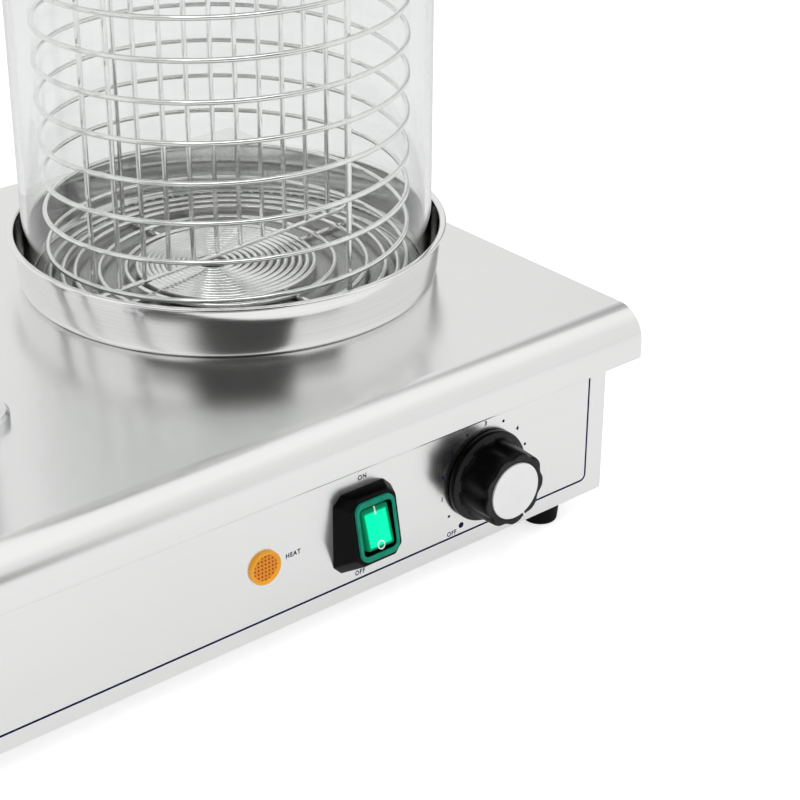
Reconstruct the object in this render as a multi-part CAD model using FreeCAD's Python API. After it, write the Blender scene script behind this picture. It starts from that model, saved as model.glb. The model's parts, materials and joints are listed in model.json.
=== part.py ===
import FreeCAD, Part
import math
import os

V = FreeCAD.Vector
UP = V(0, 0, 1)
RIGHT = V(1, 0, 0)
BACK = V(0, 1, 0)
ORIGIN = V(0, 0, 0)

# Driving sizes, in millimetres and degrees.
# The origin is on the floor under the middle of the whole machine: +X right, +Y back, +Z up.

# Cabinet and feet
cabinet_width = 472.0
cabinet_depth = 320.0
panel_height = 69.0
sheet = 1.0
foot_height = 15.0
foot_side_inset = 26.0
foot_front_inset = 16.0
foot_top_radius = 10.0
foot_bottom_radius = 8.5
foot_screw_radius = 2.0
foot_screw_reach = 8.0
flange_width = 14.0
bottom_flange_width = 28.0
floor_rim_height = 8.0
fold_radius = 1.6

# Cover with a rolled front edge
lip_height = 25.0
front_overhang = 8.2
side_overhang = 14.0
rear_overhang = 6.0
bullnose_radius = 15.5
lip_corner_radius = 1.5
nose_clearance = 0.8

# Water pan
pan_right_inset = 107.5
pan_setback = 159.4
pan_wall_bottom_radius = 101.8
pan_wall_top_radius = 103.8
pan_rim_radius = 107.5
pan_height = 26.5
pan_sheet = 0.8
rim_fold_height = 1.6
well_radius = 92.0
well_depth = 1.6
pan_base_round = 2.0

# Glass cylinder
glass_radius = 100.0
glass_wall = 3.0
glass_height = 240.0

# Lid
lid_radius = 103.4
lid_sheet = 1.0
lid_skirt = 12.0
lid_dome_radius = 78.0
lid_dome_rise = 7.0
lid_vent_radius = 2.5
lid_vent_circle = 50.0
lid_knob_radius = 18.0
lid_knob_height = 27.0
lid_knob_neck_radius = 9.0
lid_screw_radius = 2.5

# Basket
wire = 2.5
basket_turn = 5.0
floor_first_radius = 9.8
floor_pitch = 3.53
floor_tight_turns = 9
wall_radius = 88.1
wall_pitch = 18.9
wall_turns = 9.0
opening_shares = (0.218, 0.568, 0.768, 0.9)
ramp_turn = 0.5
shell_web = 0.8
ridge_slope = 0.75
post_clearance = 0.3
weld_gap = 0.05
post_gap = 0.15
frame_bend = 4.0
divider_half_width = 82.0
divider_lift = 6.2
divider_wire_spacing = 15.0
divider_wires_each_side = 5
handle_half_width = 24.0
handle_rise = 20.0

# Heater under the pan
opening_clearance = 1.2
plate_thickness = 6.0
plate_radius = 98.0
seal_inner_radius = 94.5
element_radius = 3.5
element_ring_radius = 62.0
element_gap_angle = 30.0
element_leg = 22.0
bridge_width = 22.0
bridge_thickness = 2.5
stud_circle_radius = 112.0
stud_radius = 2.5
cutout_radius = 8.0
cutout_height = 9.0
cutout_tab_length = 8.0
inner_part_offset = 31.0
bulb_radius = 3.0
bulb_length = 50.0
clip_sheet = 0.8
clip_width = 10.0
clip_foot = 6.0

# Bun spikes
spike_radius = 9.0
spike_length = 190.0
spike_tip_length = 34.0
spike_tip_radius = 2.2
spike_flange_radius = 17.0
spike_flange_height = 5.0
spike_neck_radius = 7.5
spike_neck_length = 16.0
spike_spacing_x = 110.0
spike_spacing_y = 124.0
spike_washer_radius = 14.0
spike_washer_thickness = 1.5
spike_nut_across = 22.0
spike_nut_height = 7.0
cartridge_radius = 4.0
cartridge_length = 150.0

# Thermostat knob, on the row of controls at half the panel's height
control_height = 35.2
knob_inset = 78.9
knob_skirt_radius = 22.2
knob_skirt_height = 4.2
knob_height = 21.9
grip_base_radius = 18.9
grip_front_radius = 17.9
grip_flutes = 9
flute_depth = 1.1
flute_radius = 9.0
flute_start = 2.0
cap_radius = 14.0
cap_thickness = 0.7
cap_seat = 4.0
pointer_width = 2.4
pointer_reach = 16.6
pointer_angle = 157.0
knob_gap = 0.4
shaft_radius = 3.0

thermostat_size = 36.0
thermostat_depth = 24.0
bushing_radius = 5.0
bushing_length = 6.0
nut_across = 14.0
nut_thickness = 2.0

# Rocker switch in its thick tilted frame
switch_inset = 152.3
switch_tilt = 11.0
switch_back_width = 33.2
switch_back_height = 40.4
switch_back_chamfer = 4.6
switch_front_width = 26.4
switch_front_height = 31.8
switch_front_chamfer = 4.2
switch_face_depth = 11.3
switch_face_rise = 3.8
bezel_width = 23.0
bezel_height = 29.0
bezel_corner = 3.2
bezel_border = 2.7
bezel_thickness = 1.8
switch_body_depth = 27.0
switch_tab_length = 8.0
switch_tab_heights = (8.0, 0.0, -8.0)
switch_wall = 1.3
rocker_clearance = 0.45
rocker_thickness = 6.5
rocker_dish = 1.1
rocker_recess = 0.6
rocker_stroke = 12.0
trunnion_radius = 1.2
running_clearance = 0.05

# Indicator lamp
lamp_inset = 206.6
lamp_radius = 8.2
lamp_rim_height = 1.4
lamp_lens_rise = 1.9
lamp_lens_radius = 6.6
lamp_barrel_radius = 6.0
lamp_barrel_length = 24.0
lamp_tab_length = 7.0
lamp_tab_spread = 2.5
lamp_nut_across = 18.0
lamp_nut_thickness = 3.0

# Inside the cabinet
terminal_length = 62.0
terminal_width = 18.0
terminal_height = 14.0
terminal_ways = 6
terminal_well_radius = 2.4
terminal_well_depth = 5.0
lead_radius = 1.3
lead_bend = 6.0
leaving_bend = 4.0
lane_step = 6.0
level_step = 4.0
earth_stud_radius = 2.0
earth_stud_height = 14.0
capillary_radius = 0.9
gland_radius = 9.0
gland_bore_radius = 4.0
gland_inset = 60.0
gland_height = 30.0
gland_hex_height = 5.0
gland_cone_height = 8.0
vent_count = 9
vent_length = 40.0
vent_width = 4.0
vent_pitch = 10.0
screw_radius = 1.9
screw_head_radius = 3.8
screw_head_height = 2.2
screw_inset = 12.0
cover_stud_radius = 2.0
cover_stud_length = 9.0
cover_stud_inset = 30.0

# Gaps between pieces
touch_gap = 0.3
fit_gap = 0.1

# Worked out
floor_plate_z = foot_height
floor_top = floor_plate_z + 2 * sheet
cover_top = foot_height + panel_height + lip_height
cover_under = cover_top - sheet
right = cabinet_width / 2
front_reach = max(knob_height, front_overhang)
rear_reach = max(gland_hex_height + gland_cone_height, rear_overhang)
middle_y = (front_reach - rear_reach) / 2
front = middle_y - cabinet_depth / 2
rear = middle_y + cabinet_depth / 2
cover_half_width = right + side_overhang
cover_front = front - front_overhang
cover_rear = rear + rear_overhang
pan_x = right - pan_right_inset
pan_y = front + pan_setback
pan_floor = cover_top - well_depth + pan_sheet
glass_base = cover_top + pan_sheet
glass_top = glass_base + glass_height
spoke_z = pan_floor + touch_gap + wire / 2
coil_z = spoke_z + wire + weld_gap
control_z = foot_height + control_height
knob_x = right - knob_inset
switch_x = right - switch_inset
lamp_x = right - lamp_inset
plate_top = cover_top - well_depth - touch_gap
plate_bottom = plate_top - plate_thickness
spike_zone_x = (-right + pan_x - pan_rim_radius) / 2

NODES = {}


def keep(name, shape):
    """Stores a finished sub-part under its node name."""
    NODES[name] = shape


def box(x0, x1, y0, y1, z0, z1):
    """A box between two opposite corners."""
    return Part.makeBox(x1 - x0, y1 - y0, z1 - z0, V(x0, y0, z0))


def rod(start, direction, radius, length):
    """A round bar."""
    return Part.makeCylinder(radius, length, start, direction)


def prism(points, run):
    """A straight body over a polygon."""
    return Part.Face(Part.makePolygon(points + [points[0]])).extrude(run)


def ring(centre, direction, outer, inner, length):
    """A tube with a straight bore."""
    return rod(centre, direction, outer, length).cut(rod(centre, direction, inner, length))


def hexagon(centre, direction, across, length):
    """A hexagonal bar: its corners are found on a circle around the axis."""
    radius = across / math.sqrt(3)
    side = RIGHT if abs(direction.dot(RIGHT)) < 0.5 else BACK
    other = direction.cross(side)
    corners = []
    for k in range(6):
        turn = math.radians(60 * k)
        corners.append(centre + side * (radius * math.cos(turn)) + other * (radius * math.sin(turn)))
    return prism(corners, direction * length)


def turned(profile, centre):
    """A body turned about a vertical axis from edges in the radius-height plane."""
    face = Part.Face(Part.Wire(profile))
    body = face.revolve(ORIGIN, UP, 360)
    body.translate(centre)
    return body


def lathe_edges(points):
    """Straight edges through (radius, height) points, closed."""
    corners = [V(r, 0, z) for r, z in points]
    return [Part.makeLine(a, b) for a, b in zip(corners, corners[1:] + corners[:1])]


def lathe(points, centre):
    """A turned body with straight flanks."""
    return turned(lathe_edges(points), centre)


def group(shapes):
    """Several separate solids kept in one node."""
    return Part.makeCompound(shapes)


def soften(shape, radius, wanted):
    """Rounds the edges that a test picks."""
    edges = [edge for edge in shape.Edges if wanted(edge)]
    return shape.makeFillet(radius, edges)


def is_vertical(edge):
    """True for a straight edge along Z."""
    direction = edge.tangentAt(edge.FirstParameter)
    return abs(direction.z) > 0.999 and edge.Curve.TypeId == "Part::GeomLine"


def rounded_path(points, radii):
    """Straight runs joined by tangent arcs, one radius for each inner point."""
    edges = []
    start = points[0]
    for k in range(1, len(points) - 1):
        inward = (points[k - 1] - points[k]).normalize()
        outward = (points[k + 1] - points[k]).normalize()
        half = math.acos(max(-1.0, min(1.0, inward.dot(outward)))) / 2
        setback = radii[k - 1] / math.tan(half)
        first = points[k] + inward * setback
        last = points[k] + outward * setback
        bisector = (inward + outward).normalize()
        middle = points[k] + bisector * (radii[k - 1] / math.sin(half) - radii[k - 1])
        if (first - start).Length > 1e-6:
            edges.append(Part.makeLine(start, first))
        edges.append(Part.Arc(first, middle, last).toShape())
        start = last
    edges.append(Part.makeLine(start, points[-1]))
    return Part.Wire(edges)


def swept(path, radius):
    """A round wire along a path."""
    first = path.OrderedEdges[0]
    start = first.valueAt(first.FirstParameter)
    heading = first.tangentAt(first.FirstParameter)
    section = Part.Wire(Part.makeCircle(radius, start, heading))
    shell = Part.BRepOffsetAPI.MakePipeShell(path)
    shell.add(section)
    shell.build()
    shell.makeSolid()
    return shell.shape()


def bent_wire(points, radii, radius):
    """A round wire bent at its inner points."""
    return swept(rounded_path(points, radii), radius)


# Cabinet


def build_cabinet_shell():
    """Front and sides folded from one sheet, with flanges below and above."""
    top = cover_under
    nose_depth = bullnose_radius - front_overhang + nose_clearance
    front_top = nose_underside(front) - nose_clearance
    outer = box(-right, right, front, rear - sheet, floor_plate_z, top)
    outer = soften(outer, fold_radius, lambda e: is_vertical(e) and e.CenterOfMass.y < middle_y)
    side = right - sheet
    low_side = right - bottom_flange_width
    high_side = right - flange_width
    hollow = box(-side, side, front + sheet, rear, floor_plate_z + sheet, top - sheet)
    low_throat = box(-low_side, low_side, front + bottom_flange_width, rear, floor_plate_z - sheet, floor_top)
    high_throat = box(-high_side, high_side, front + sheet, rear, top - 2 * sheet, top + sheet)
    nose_cut = box(-right - sheet, right + sheet, front - sheet, front + nose_depth, front_top, top + sheet)
    plate_relief = rod(pan_centre(top - 2 * sheet), UP, plate_radius + sheet, 3 * sheet)
    body = outer.cut([hollow, low_throat, high_throat, nose_cut, plate_relief])
    front_flange = box(-side, side, front + sheet, front + flange_width, front_top - sheet, front_top)
    body = body.fuse(front_flange).removeSplitter()
    holes = [rod(V(knob_x, front - sheet, control_z), BACK, bushing_radius + fit_gap, 3 * sheet),
             rod(V(lamp_x, front - sheet, control_z), BACK, lamp_barrel_radius + fit_gap, 3 * sheet),
             switch_opening()]
    holes += [rod(V(x, y, floor_plate_z - sheet), UP, foot_screw_radius + fit_gap, 3 * sheet)
              for x, y in foot_places()]
    holes += [rod(V(x, y, top - 2 * sheet), UP, cover_stud_radius + fit_gap, 3 * sheet)
              for x, y in cover_stud_places()]
    keep("cabinet_shell", body.cut(holes))


def nose_underside(y):
    """Height of the rolled edge's inner face above one y."""
    inner = bullnose_radius - sheet
    from_centre = cover_front + bullnose_radius - y
    return cover_top - bullnose_radius + math.sqrt(inner * inner - from_centre * from_centre)


def foot_places():
    """The four feet's places."""
    half = cabinet_depth / 2 - foot_front_inset
    return [(sx * (right - foot_side_inset), middle_y + sy * half) for sx in (-1, 1) for sy in (-1, 1)]


def cover_stud_places():
    """Places of the cover's studs, on the shell's side flanges."""
    x = right - flange_width / 2
    half = cabinet_depth / 2 - cover_stud_inset
    return [(sx * x, middle_y + sy * half) for sx in (-1, 1) for sy in (-1, 1)]


def build_bottom_plate():
    """Bottom plate on the shell's flange, with a turned-up rim and cooling slots."""
    low = floor_plate_z + sheet
    x = right - sheet - fit_gap
    y0 = front + sheet + fit_gap
    y1 = rear - sheet - fit_gap
    high = low + floor_rim_height
    plate = box(-x, x, y0, y1, low, low + sheet)
    walls = box(-x, x, y0, y1, low, high).cut(box(-x + sheet, x - sheet, y0 + sheet, y1 - sheet, low, high))
    body = plate.fuse(walls).removeSplitter()
    holes = [rod(V(x, y, low - sheet), UP, foot_screw_radius + fit_gap, 3 * sheet)
             for x, y in foot_places()]
    first = middle_y - vent_pitch * (vent_count - 1) / 2
    for side in (-1, 1):
        place_x = spike_zone_x + side * (spike_spacing_x + vent_length) / 2
        holes += [vent_slot(V(place_x, first + k * vent_pitch, low - sheet), RIGHT, UP)
                  for k in range(vent_count)]
    keep("bottom_plate", body.cut(holes))


def vent_slot(centre, along, through):
    """A cutting body for one round-ended slot."""
    across = through.cross(along)
    half = vent_length / 2 - vent_width / 2
    depth = 3 * sheet
    a = centre - along * half
    b = centre + along * half
    w = across * (vent_width / 2)
    bar = prism([a - w, b - w, b + w, a + w], through * depth)
    ends = [rod(a, through, vent_width / 2, depth), rod(b, through, vent_width / 2, depth)]
    return bar.fuse(ends).removeSplitter()


def build_rear_panel():
    """Rear panel with cooling slots and the hole for the cord gland."""
    body = box(-right, right, rear - sheet, rear, floor_plate_z, cover_under)
    middle = (floor_plate_z + cover_under) / 2
    first = spike_zone_x - vent_pitch * (vent_count - 1) / 2
    slots = [vent_slot(V(first + k * vent_pitch, rear - 2 * sheet, middle), UP, BACK)
             for k in range(vent_count)]
    body = body.cut(slots)
    body = body.cut(rod(gland_centre() - BACK * sheet, BACK, gland_radius * 0.75 + fit_gap, 3 * sheet))
    for x, z in rear_screw_places():
        body = body.cut(rod(V(x, rear - 2 * sheet, z), BACK, screw_radius + fit_gap, 3 * sheet))
    keep("rear_panel", body)


def gland_centre():
    """Where the mains cord enters, on the rear panel's inner face."""
    return V(right - gland_inset, rear - sheet, foot_height + gland_height)


def rear_screw_places():
    """Places of the screws that hold the rear panel, all below the cover's edge."""
    x = right - flange_width / 2
    low = floor_plate_z + screw_inset
    high = floor_plate_z + panel_height - screw_inset
    return [(sx * x, z) for sx in (-1, 1) for z in (low, high)]


def build_rear_brackets():
    """Two upright angles inside the rear corners, which the rear panel is screwed to."""
    parts = []
    low = floor_plate_z + sheet + fit_gap
    high = cover_under - sheet - fit_gap
    rim_top = floor_plate_z + sheet + floor_rim_height + fit_gap
    for side in (-1, 1):
        x0, x1 = sorted((side * (right - sheet), side * (right - flange_width)))
        a0, a1 = sorted((side * (right - sheet), side * (right - 2 * sheet)))
        back_leg = box(x0, x1, rear - 3 * sheet, rear - sheet, low, high)
        side_leg = box(a0, a1, rear - flange_width, rear - sheet, low, high)
        body = back_leg.fuse(side_leg).removeSplitter()
        body = body.cut(box(x0 - sheet, x1 + sheet, rear - 2 * flange_width, rear, low - sheet, rim_top))
        body = body.cut([rod(V(x, rear - 4 * sheet, z), BACK, screw_radius + fit_gap / 2, 4 * sheet)
                         for x, z in rear_screw_places()])
        parts.append(body)
    keep("rear_brackets", group(parts))


def screw(head_base, direction, length, head_radius, radius):
    """A pan-head screw with a cross recess, its head along the direction and its shank the other way."""
    head = rod(head_base, direction, head_radius, screw_head_height)
    crown = max(head.Edges, key=lambda e: e.CenterOfMass.dot(direction) if e.Closed else -1e9)
    head = head.makeFillet(screw_head_height * 0.45, [crown])
    shank = rod(head_base - direction * length, direction, radius, length + screw_head_height / 2)
    side = RIGHT if abs(direction.dot(RIGHT)) < 0.5 else BACK
    other = direction.cross(side)
    base = head_base + direction * (screw_head_height / 2)
    reach = head_radius * 0.62
    half_slot = head_radius * 0.11
    cuts = []
    signs = ((-1, -1), (1, -1), (1, 1), (-1, 1))
    for a, b in ((side, other), (other, side)):
        corners = [base + a * (sx * reach) + b * (sy * half_slot) for sx, sy in signs]
        cuts.append(prism(corners, direction * screw_head_height))
    return head.fuse(shank).removeSplitter().cut(cuts)


def build_rear_screws():
    """Screws of the rear panel, through it and the angles behind it."""
    length = 3 * sheet + 5.0
    screws = [screw(V(x, rear, z), BACK, length, screw_head_radius, screw_radius)
              for x, z in rear_screw_places()]
    keep("rear_screws", group(screws))


def build_cover_fastening():
    """Weld studs under the cover, through the shell's side flanges, and their nuts."""
    low = cover_under - cover_stud_length
    nut_height = 3.2
    studs = []
    nuts = []
    for x, y in cover_stud_places():
        studs.append(rod(V(x, y, low), UP, cover_stud_radius, cover_stud_length))
        place = V(x, y, cover_under - sheet - nut_height)
        nut = hexagon(place, UP, 7.0, nut_height)
        nuts.append(nut.cut(rod(place, UP, cover_stud_radius + fit_gap / 2, nut_height)))
    keep("cover_studs", group(studs))
    keep("cover_nuts", group(nuts))


def build_feet():
    """Four tapered rubber feet and the screws that hold them."""
    feet = []
    screws = []
    for x, y in foot_places():
        body = Part.makeCone(foot_bottom_radius, foot_top_radius, foot_height, V(x, y, 0), UP)
        low_edge = [e for e in body.Edges if e.Closed and e.CenterOfMass.z < 0.1]
        body = body.makeFillet(1.2, low_edge)
        depth = foot_screw_reach + fit_gap
        hole = rod(V(x, y, foot_height - depth), UP, foot_screw_radius + fit_gap / 2, depth)
        feet.append(body.cut(hole))
        length = 2 * sheet + foot_screw_reach
        screws.append(screw(V(x, y, floor_top), UP, length, screw_head_radius, foot_screw_radius))
    keep("rubber_feet", group(feet))
    keep("foot_screws", group(screws))


def cover_profile(inset, x):
    """The cover's section in the plane of one x: square at the rear, rolled at the front."""
    y0 = cover_front + inset
    y1 = cover_rear - inset
    z0 = cover_top - lip_height
    z1 = cover_top - inset
    nose = bullnose_radius - inset
    tail = fold_radius * 2 - inset
    slant = math.sqrt(0.5)
    low = z0 if inset == 0 else z0 - sheet
    corner = 0.0 if inset else lip_corner_radius
    edges = []
    nose_start = V(x, y0, z1 - nose)
    nose_end = V(x, y0 + nose, z1)
    nose_mid = V(x, y0 + nose * (1 - slant), z1 - nose * (1 - slant))
    tail_start = V(x, y1 - tail, z1)
    tail_end = V(x, y1, z1 - tail)
    tail_mid = V(x, y1 - tail * (1 - slant), z1 - tail * (1 - slant))
    edges.append(Part.Arc(nose_start, nose_mid, nose_end).toShape())
    edges.append(Part.makeLine(nose_end, tail_start))
    edges.append(Part.Arc(tail_start, tail_mid, tail_end).toShape())
    edges.append(Part.makeLine(tail_end, V(x, y1, low)))
    if corner:
        corner_mid = V(x, y0 + corner * (1 - slant), low + corner * (1 - slant))
        edges.append(Part.makeLine(V(x, y1, low), V(x, y0 + corner, low)))
        edges.append(Part.Arc(V(x, y0 + corner, low), corner_mid, V(x, y0, low + corner)).toShape())
        edges.append(Part.makeLine(V(x, y0, low + corner), nose_start))
    else:
        edges.append(Part.makeLine(V(x, y1, low), V(x, y0, low)))
        edges.append(Part.makeLine(V(x, y0, low), nose_start))
    return Part.Wire(edges)


def build_top_cover():
    """The cover: a folded sheet with a rolled front edge, open below."""
    outer = Part.Face(cover_profile(0, -cover_half_width)).extrude(RIGHT * (2 * cover_half_width))
    inner_half = cover_half_width - sheet
    inner = Part.Face(cover_profile(sheet, -inner_half)).extrude(RIGHT * (2 * inner_half))
    body = outer.cut(inner)
    body = body.cut(rod(V(pan_x, pan_y, cover_under - sheet), UP, well_radius + opening_clearance, 3 * sheet))
    for x, y in spike_places():
        body = body.cut(rod(V(x, y, cover_under - sheet), UP, spike_neck_radius + fit_gap, 3 * sheet))
    keep("top_cover", body)


# Heater under the pan


def pan_centre(z):
    """A point on the pan's axis."""
    return V(pan_x, pan_y, z)


def build_heating_plate():
    """Cast plate under the cover's opening, with a raised pad that meets the pan's well."""
    pad = rod(pan_centre(plate_bottom), UP, plate_radius, plate_thickness)
    keep("heating_plate", pad)
    seal = ring(pan_centre(plate_top), UP, plate_radius, seal_inner_radius, cover_under - plate_top)
    keep("plate_seal", seal)


def element_place():
    """Height of the heater tube's centre under the plate."""
    return plate_bottom - element_radius - fit_gap


def build_heater_element():
    """Tubular heater bent to an open ring, with two legs turned down."""
    z = element_place()
    r = element_ring_radius
    half = math.radians(element_gap_angle / 2)
    bend = 3 * element_radius

    def around(angle):
        """Point of the ring at one angle."""
        return V(pan_x + r * math.cos(angle), pan_y + r * math.sin(angle), z)

    def leg(angle, sign):
        """Bend and straight end at one side of the ring's gap."""
        heading = V(-math.sin(angle), math.cos(angle), 0) * sign
        start = around(angle)
        turn_end = start + heading * bend - UP * bend
        middle = start + heading * (bend * math.sqrt(0.5)) - UP * (bend * (1 - math.sqrt(0.5)))
        arc = Part.Arc(start, middle, turn_end).toShape()
        return arc, Part.makeLine(turn_end, turn_end - UP * element_leg)

    west = math.pi
    a0 = west + half
    a1 = west - half + 2 * math.pi
    quarter = (a1 - a0) / 4
    arcs = [Part.Arc(around(a0 + k * quarter), around(a0 + (k + 0.5) * quarter),
                     around(a0 + (k + 1) * quarter)).toShape() for k in range(4)]
    first_arc, first_line = leg(a0, -1)
    last_arc, last_line = leg(a1, 1)
    path = Part.Wire([first_line, first_arc] + arcs + [last_arc, last_line])
    keep("heater_element", swept(path, element_radius))


def element_leg_ends():
    """The lower ends of the heater's two legs."""
    half = math.radians(element_gap_angle / 2)
    bend = 3 * element_radius
    ends = []
    for sign, angle in ((-1, math.pi + half), (1, math.pi - half)):
        start = V(pan_x + element_ring_radius * math.cos(angle), pan_y + element_ring_radius * math.sin(angle),
                  element_place())
        heading = V(-math.sin(angle), math.cos(angle), 0) * sign
        ends.append(start + heading * bend - UP * (bend + element_leg))
    return ends


def stud_places():
    """Two weld studs under the cover, in front of and behind the plate."""
    return [(pan_x, pan_y - stud_circle_radius), (pan_x, pan_y + stud_circle_radius)]


def bridge_top():
    """Upper face of the clamping bar under the heater tube."""
    return element_place() - element_radius - fit_gap


def build_clamp():
    """Clamping bar, its two studs and their nuts."""
    top = bridge_top()
    half = stud_circle_radius + 10.0
    bar = box(pan_x - bridge_width / 2, pan_x + bridge_width / 2, pan_y - half, pan_y + half,
              top - bridge_thickness, top)
    bar = soften(bar, bridge_width / 3, is_vertical)
    for x, y in stud_places():
        bar = bar.cut(rod(V(x, y, top - 2 * bridge_thickness), UP, stud_radius + fit_gap, 4 * bridge_thickness))
    keep("clamp_bar", bar)
    low = top - bridge_thickness - 8.0
    studs = [rod(V(x, y, low), UP, stud_radius, cover_under - low) for x, y in stud_places()]
    keep("clamp_studs", group(studs))
    nuts = []
    for x, y in stud_places():
        place = V(x, y, top - bridge_thickness - 4.0)
        nuts.append(hexagon(place, UP, 8.0, 4.0).cut(rod(place, UP, stud_radius + fit_gap / 2, 4.0)))
    keep("clamp_nuts", group(nuts))


def cutout_place():
    """Centre of the safety cut-out, inside the heater's ring."""
    return V(pan_x - inner_part_offset, pan_y - inner_part_offset, plate_bottom - fit_gap - cutout_height)


def cutout_tab_end(side):
    """Lower end of one tab of the cut-out."""
    return cutout_place() + V(side * 3.0, 0, -cutout_tab_length)


def build_cutout():
    """Safety cut-out, a disc with two tabs under the plate."""
    body = rod(cutout_place(), UP, cutout_radius, cutout_height)
    tabs = []
    for side in (-1, 1):
        end = cutout_tab_end(side)
        tabs.append(box(end.x - 0.4, end.x + 0.4, end.y - 3.0, end.y + 3.0, end.z, end.z + cutout_tab_length))
    keep("thermal_cutout", body.fuse(tabs).removeSplitter())


def bulb_start():
    """Front end of the thermostat's bulb, under the plate."""
    return V(pan_x + inner_part_offset, pan_y - bulb_length / 2, plate_bottom - fit_gap - bulb_radius)


def build_bulb():
    """Sensing bulb in its clip under the plate, and the capillary down to the thermostat."""
    start = bulb_start()
    body = rod(start, BACK, bulb_radius, bulb_length)
    ends = [e for e in body.Edges if e.Closed]
    keep("thermostat_bulb", body.makeFillet(bulb_radius * 0.6, ends))
    inner = bulb_radius + fit_gap
    outer = inner + clip_sheet
    y0 = start.y + (bulb_length - clip_width) / 2
    y1 = y0 + clip_width
    low = start.z - inner
    saddle = box(start.x - outer, start.x + outer, y0, y1, low - clip_sheet, plate_bottom)
    reach = outer + clip_foot
    feet = box(start.x - reach, start.x + reach, y0, y1, plate_bottom - clip_sheet, plate_bottom)
    channel = box(start.x - inner, start.x + inner, y0, y1, low, plate_bottom)
    keep("bulb_clip", saddle.fuse(feet).removeSplitter().cut(channel))
    turn_y = start.y - 16.0
    route = [V(start.x, front + sheet + thermostat_depth, control_z), V(start.x, turn_y, control_z),
             V(start.x, turn_y, start.z), start]
    keep("capillary", bent_wire(route, [14.0, 9.0], capillary_radius))


# Thermostat, switch and lamp behind the panel


def build_thermostat():
    """Thermostat body with its threaded bushing and the nut in front of the panel."""
    back = front + sheet
    half = thermostat_size / 2
    body = box(knob_x - half, knob_x + half, back, back + thermostat_depth, control_z - half, control_z + half)
    body = soften(body, 2.0, lambda e: abs(e.tangentAt(e.FirstParameter).y) > 0.999)
    reach = sheet + bushing_length
    body = body.fuse(rod(V(knob_x, back - reach, control_z), BACK, bushing_radius, reach)).removeSplitter()
    bore_depth = reach + thermostat_depth * 0.6
    body = body.cut(rod(V(knob_x, back - reach, control_z), BACK, shaft_radius + running_clearance, bore_depth))
    keep("thermostat_body", body)
    place = V(knob_x, front - nut_thickness, control_z)
    nut = hexagon(place, BACK, nut_across, nut_thickness)
    keep("thermostat_nut", nut.cut(rod(place, BACK, bushing_radius + fit_gap / 2, nut_thickness)))
    inner_end = back - reach + bore_depth - touch_gap
    outer_end = front - knob_height + cap_thickness + cap_seat
    shaft = rod(V(knob_x, outer_end, control_z), BACK, shaft_radius, inner_end - outer_end)
    flat = box(knob_x - shaft_radius, knob_x + shaft_radius, outer_end, front - bushing_length - touch_gap,
               control_z + shaft_radius * 0.55, control_z + shaft_radius)
    keep("thermostat_shaft", shaft.cut(flat))


def build_knob():
    """Knob: a skirt, a fluted grip and a bright cap with the pointer."""
    out = -BACK
    axis_point = V(knob_x, front, control_z)
    skirt = rod(axis_point + out * knob_gap, out, knob_skirt_radius, knob_skirt_height - knob_gap)
    face_y = front - knob_skirt_height
    face_edge = [e for e in skirt.Edges if e.Closed and abs(e.CenterOfMass.y - face_y) < 0.01]
    skirt = skirt.makeFillet(1.0, face_edge)
    grip_length = knob_height - cap_thickness - knob_skirt_height
    grip = Part.makeCone(grip_base_radius, grip_front_radius, grip_length,
                         axis_point + out * knob_skirt_height, out)
    front_edge = [e for e in grip.Edges if e.Closed and e.CenterOfMass.y < face_y - grip_length / 2]
    grip = grip.makeFillet(1.0, front_edge)
    cutters = []
    for k in range(grip_flutes):
        turn = 2 * math.pi * (k + 0.5) / grip_flutes
        reach = grip_front_radius + flute_radius - flute_depth
        place = axis_point + V(reach * math.sin(turn), 0, reach * math.cos(turn))
        cutters.append(rod(place + out * (knob_skirt_height + flute_start), out, flute_radius, grip_length))
    grip = grip.cut(cutters)
    body = skirt.fuse(grip).removeSplitter()
    recess = nut_across * 0.62
    body = body.cut(rod(axis_point, out, recess, bushing_length + touch_gap + fit_gap))
    shaft_depth = knob_height - cap_thickness - cap_seat + touch_gap
    bore = rod(axis_point, out, shaft_radius + fit_gap / 5, shaft_depth)
    flat = box(knob_x - 2 * shaft_radius, knob_x + 2 * shaft_radius, front - shaft_depth, front,
               control_z + shaft_radius * 0.55 + fit_gap / 2, control_z + 2 * shaft_radius)
    body = body.cut(bore.cut(flat))
    keep("knob_grip", body)
    cap_base = axis_point + out * (knob_height - cap_thickness)
    cap = rod(cap_base, out, cap_radius, cap_thickness)
    tab = box(knob_x - pointer_width / 2, knob_x + pointer_width / 2, front - knob_height,
              front - knob_height + cap_thickness, control_z, control_z + pointer_reach)
    tab.rotate(axis_point, BACK, pointer_angle)
    keep("knob_cap", cap.fuse(tab).removeSplitter())


def switch_centre():
    """Centre of the switch's front face."""
    return V(switch_x, front - switch_face_depth, control_z + switch_face_rise)


def tilt_in_place(shape):
    """Turns a body modelled upright at the origin to the switch's tilted face."""
    shape.rotate(ORIGIN, RIGHT, -switch_tilt)
    shape.translate(switch_centre())
    return shape


def octagon(width, height, chamfer, y):
    """A rectangle with cut corners, in a plane across Y."""
    w = width / 2
    h = height / 2
    c = chamfer
    corners = [(-w + c, -h), (w - c, -h), (w, -h + c), (w, h - c),
               (w - c, h), (-w + c, h), (-w, h - c), (-w, -h + c)]
    points = [V(x, y, z) for x, z in corners]
    return Part.makePolygon(points + [points[0]])


def rounded_block(width, height, corner, y0, y1):
    """A block with its long edges rounded, along Y."""
    body = box(-width / 2, width / 2, y0, y1, -height / 2, height / 2)
    return soften(body, corner, lambda e: abs(e.tangentAt(e.FirstParameter).y) > 0.999)


def switch_core_size():
    """Width and height of the switch body behind its bezel."""
    return bezel_width - 2 * fit_gap - 1.0, bezel_height - 2 * fit_gap - 1.0


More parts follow.
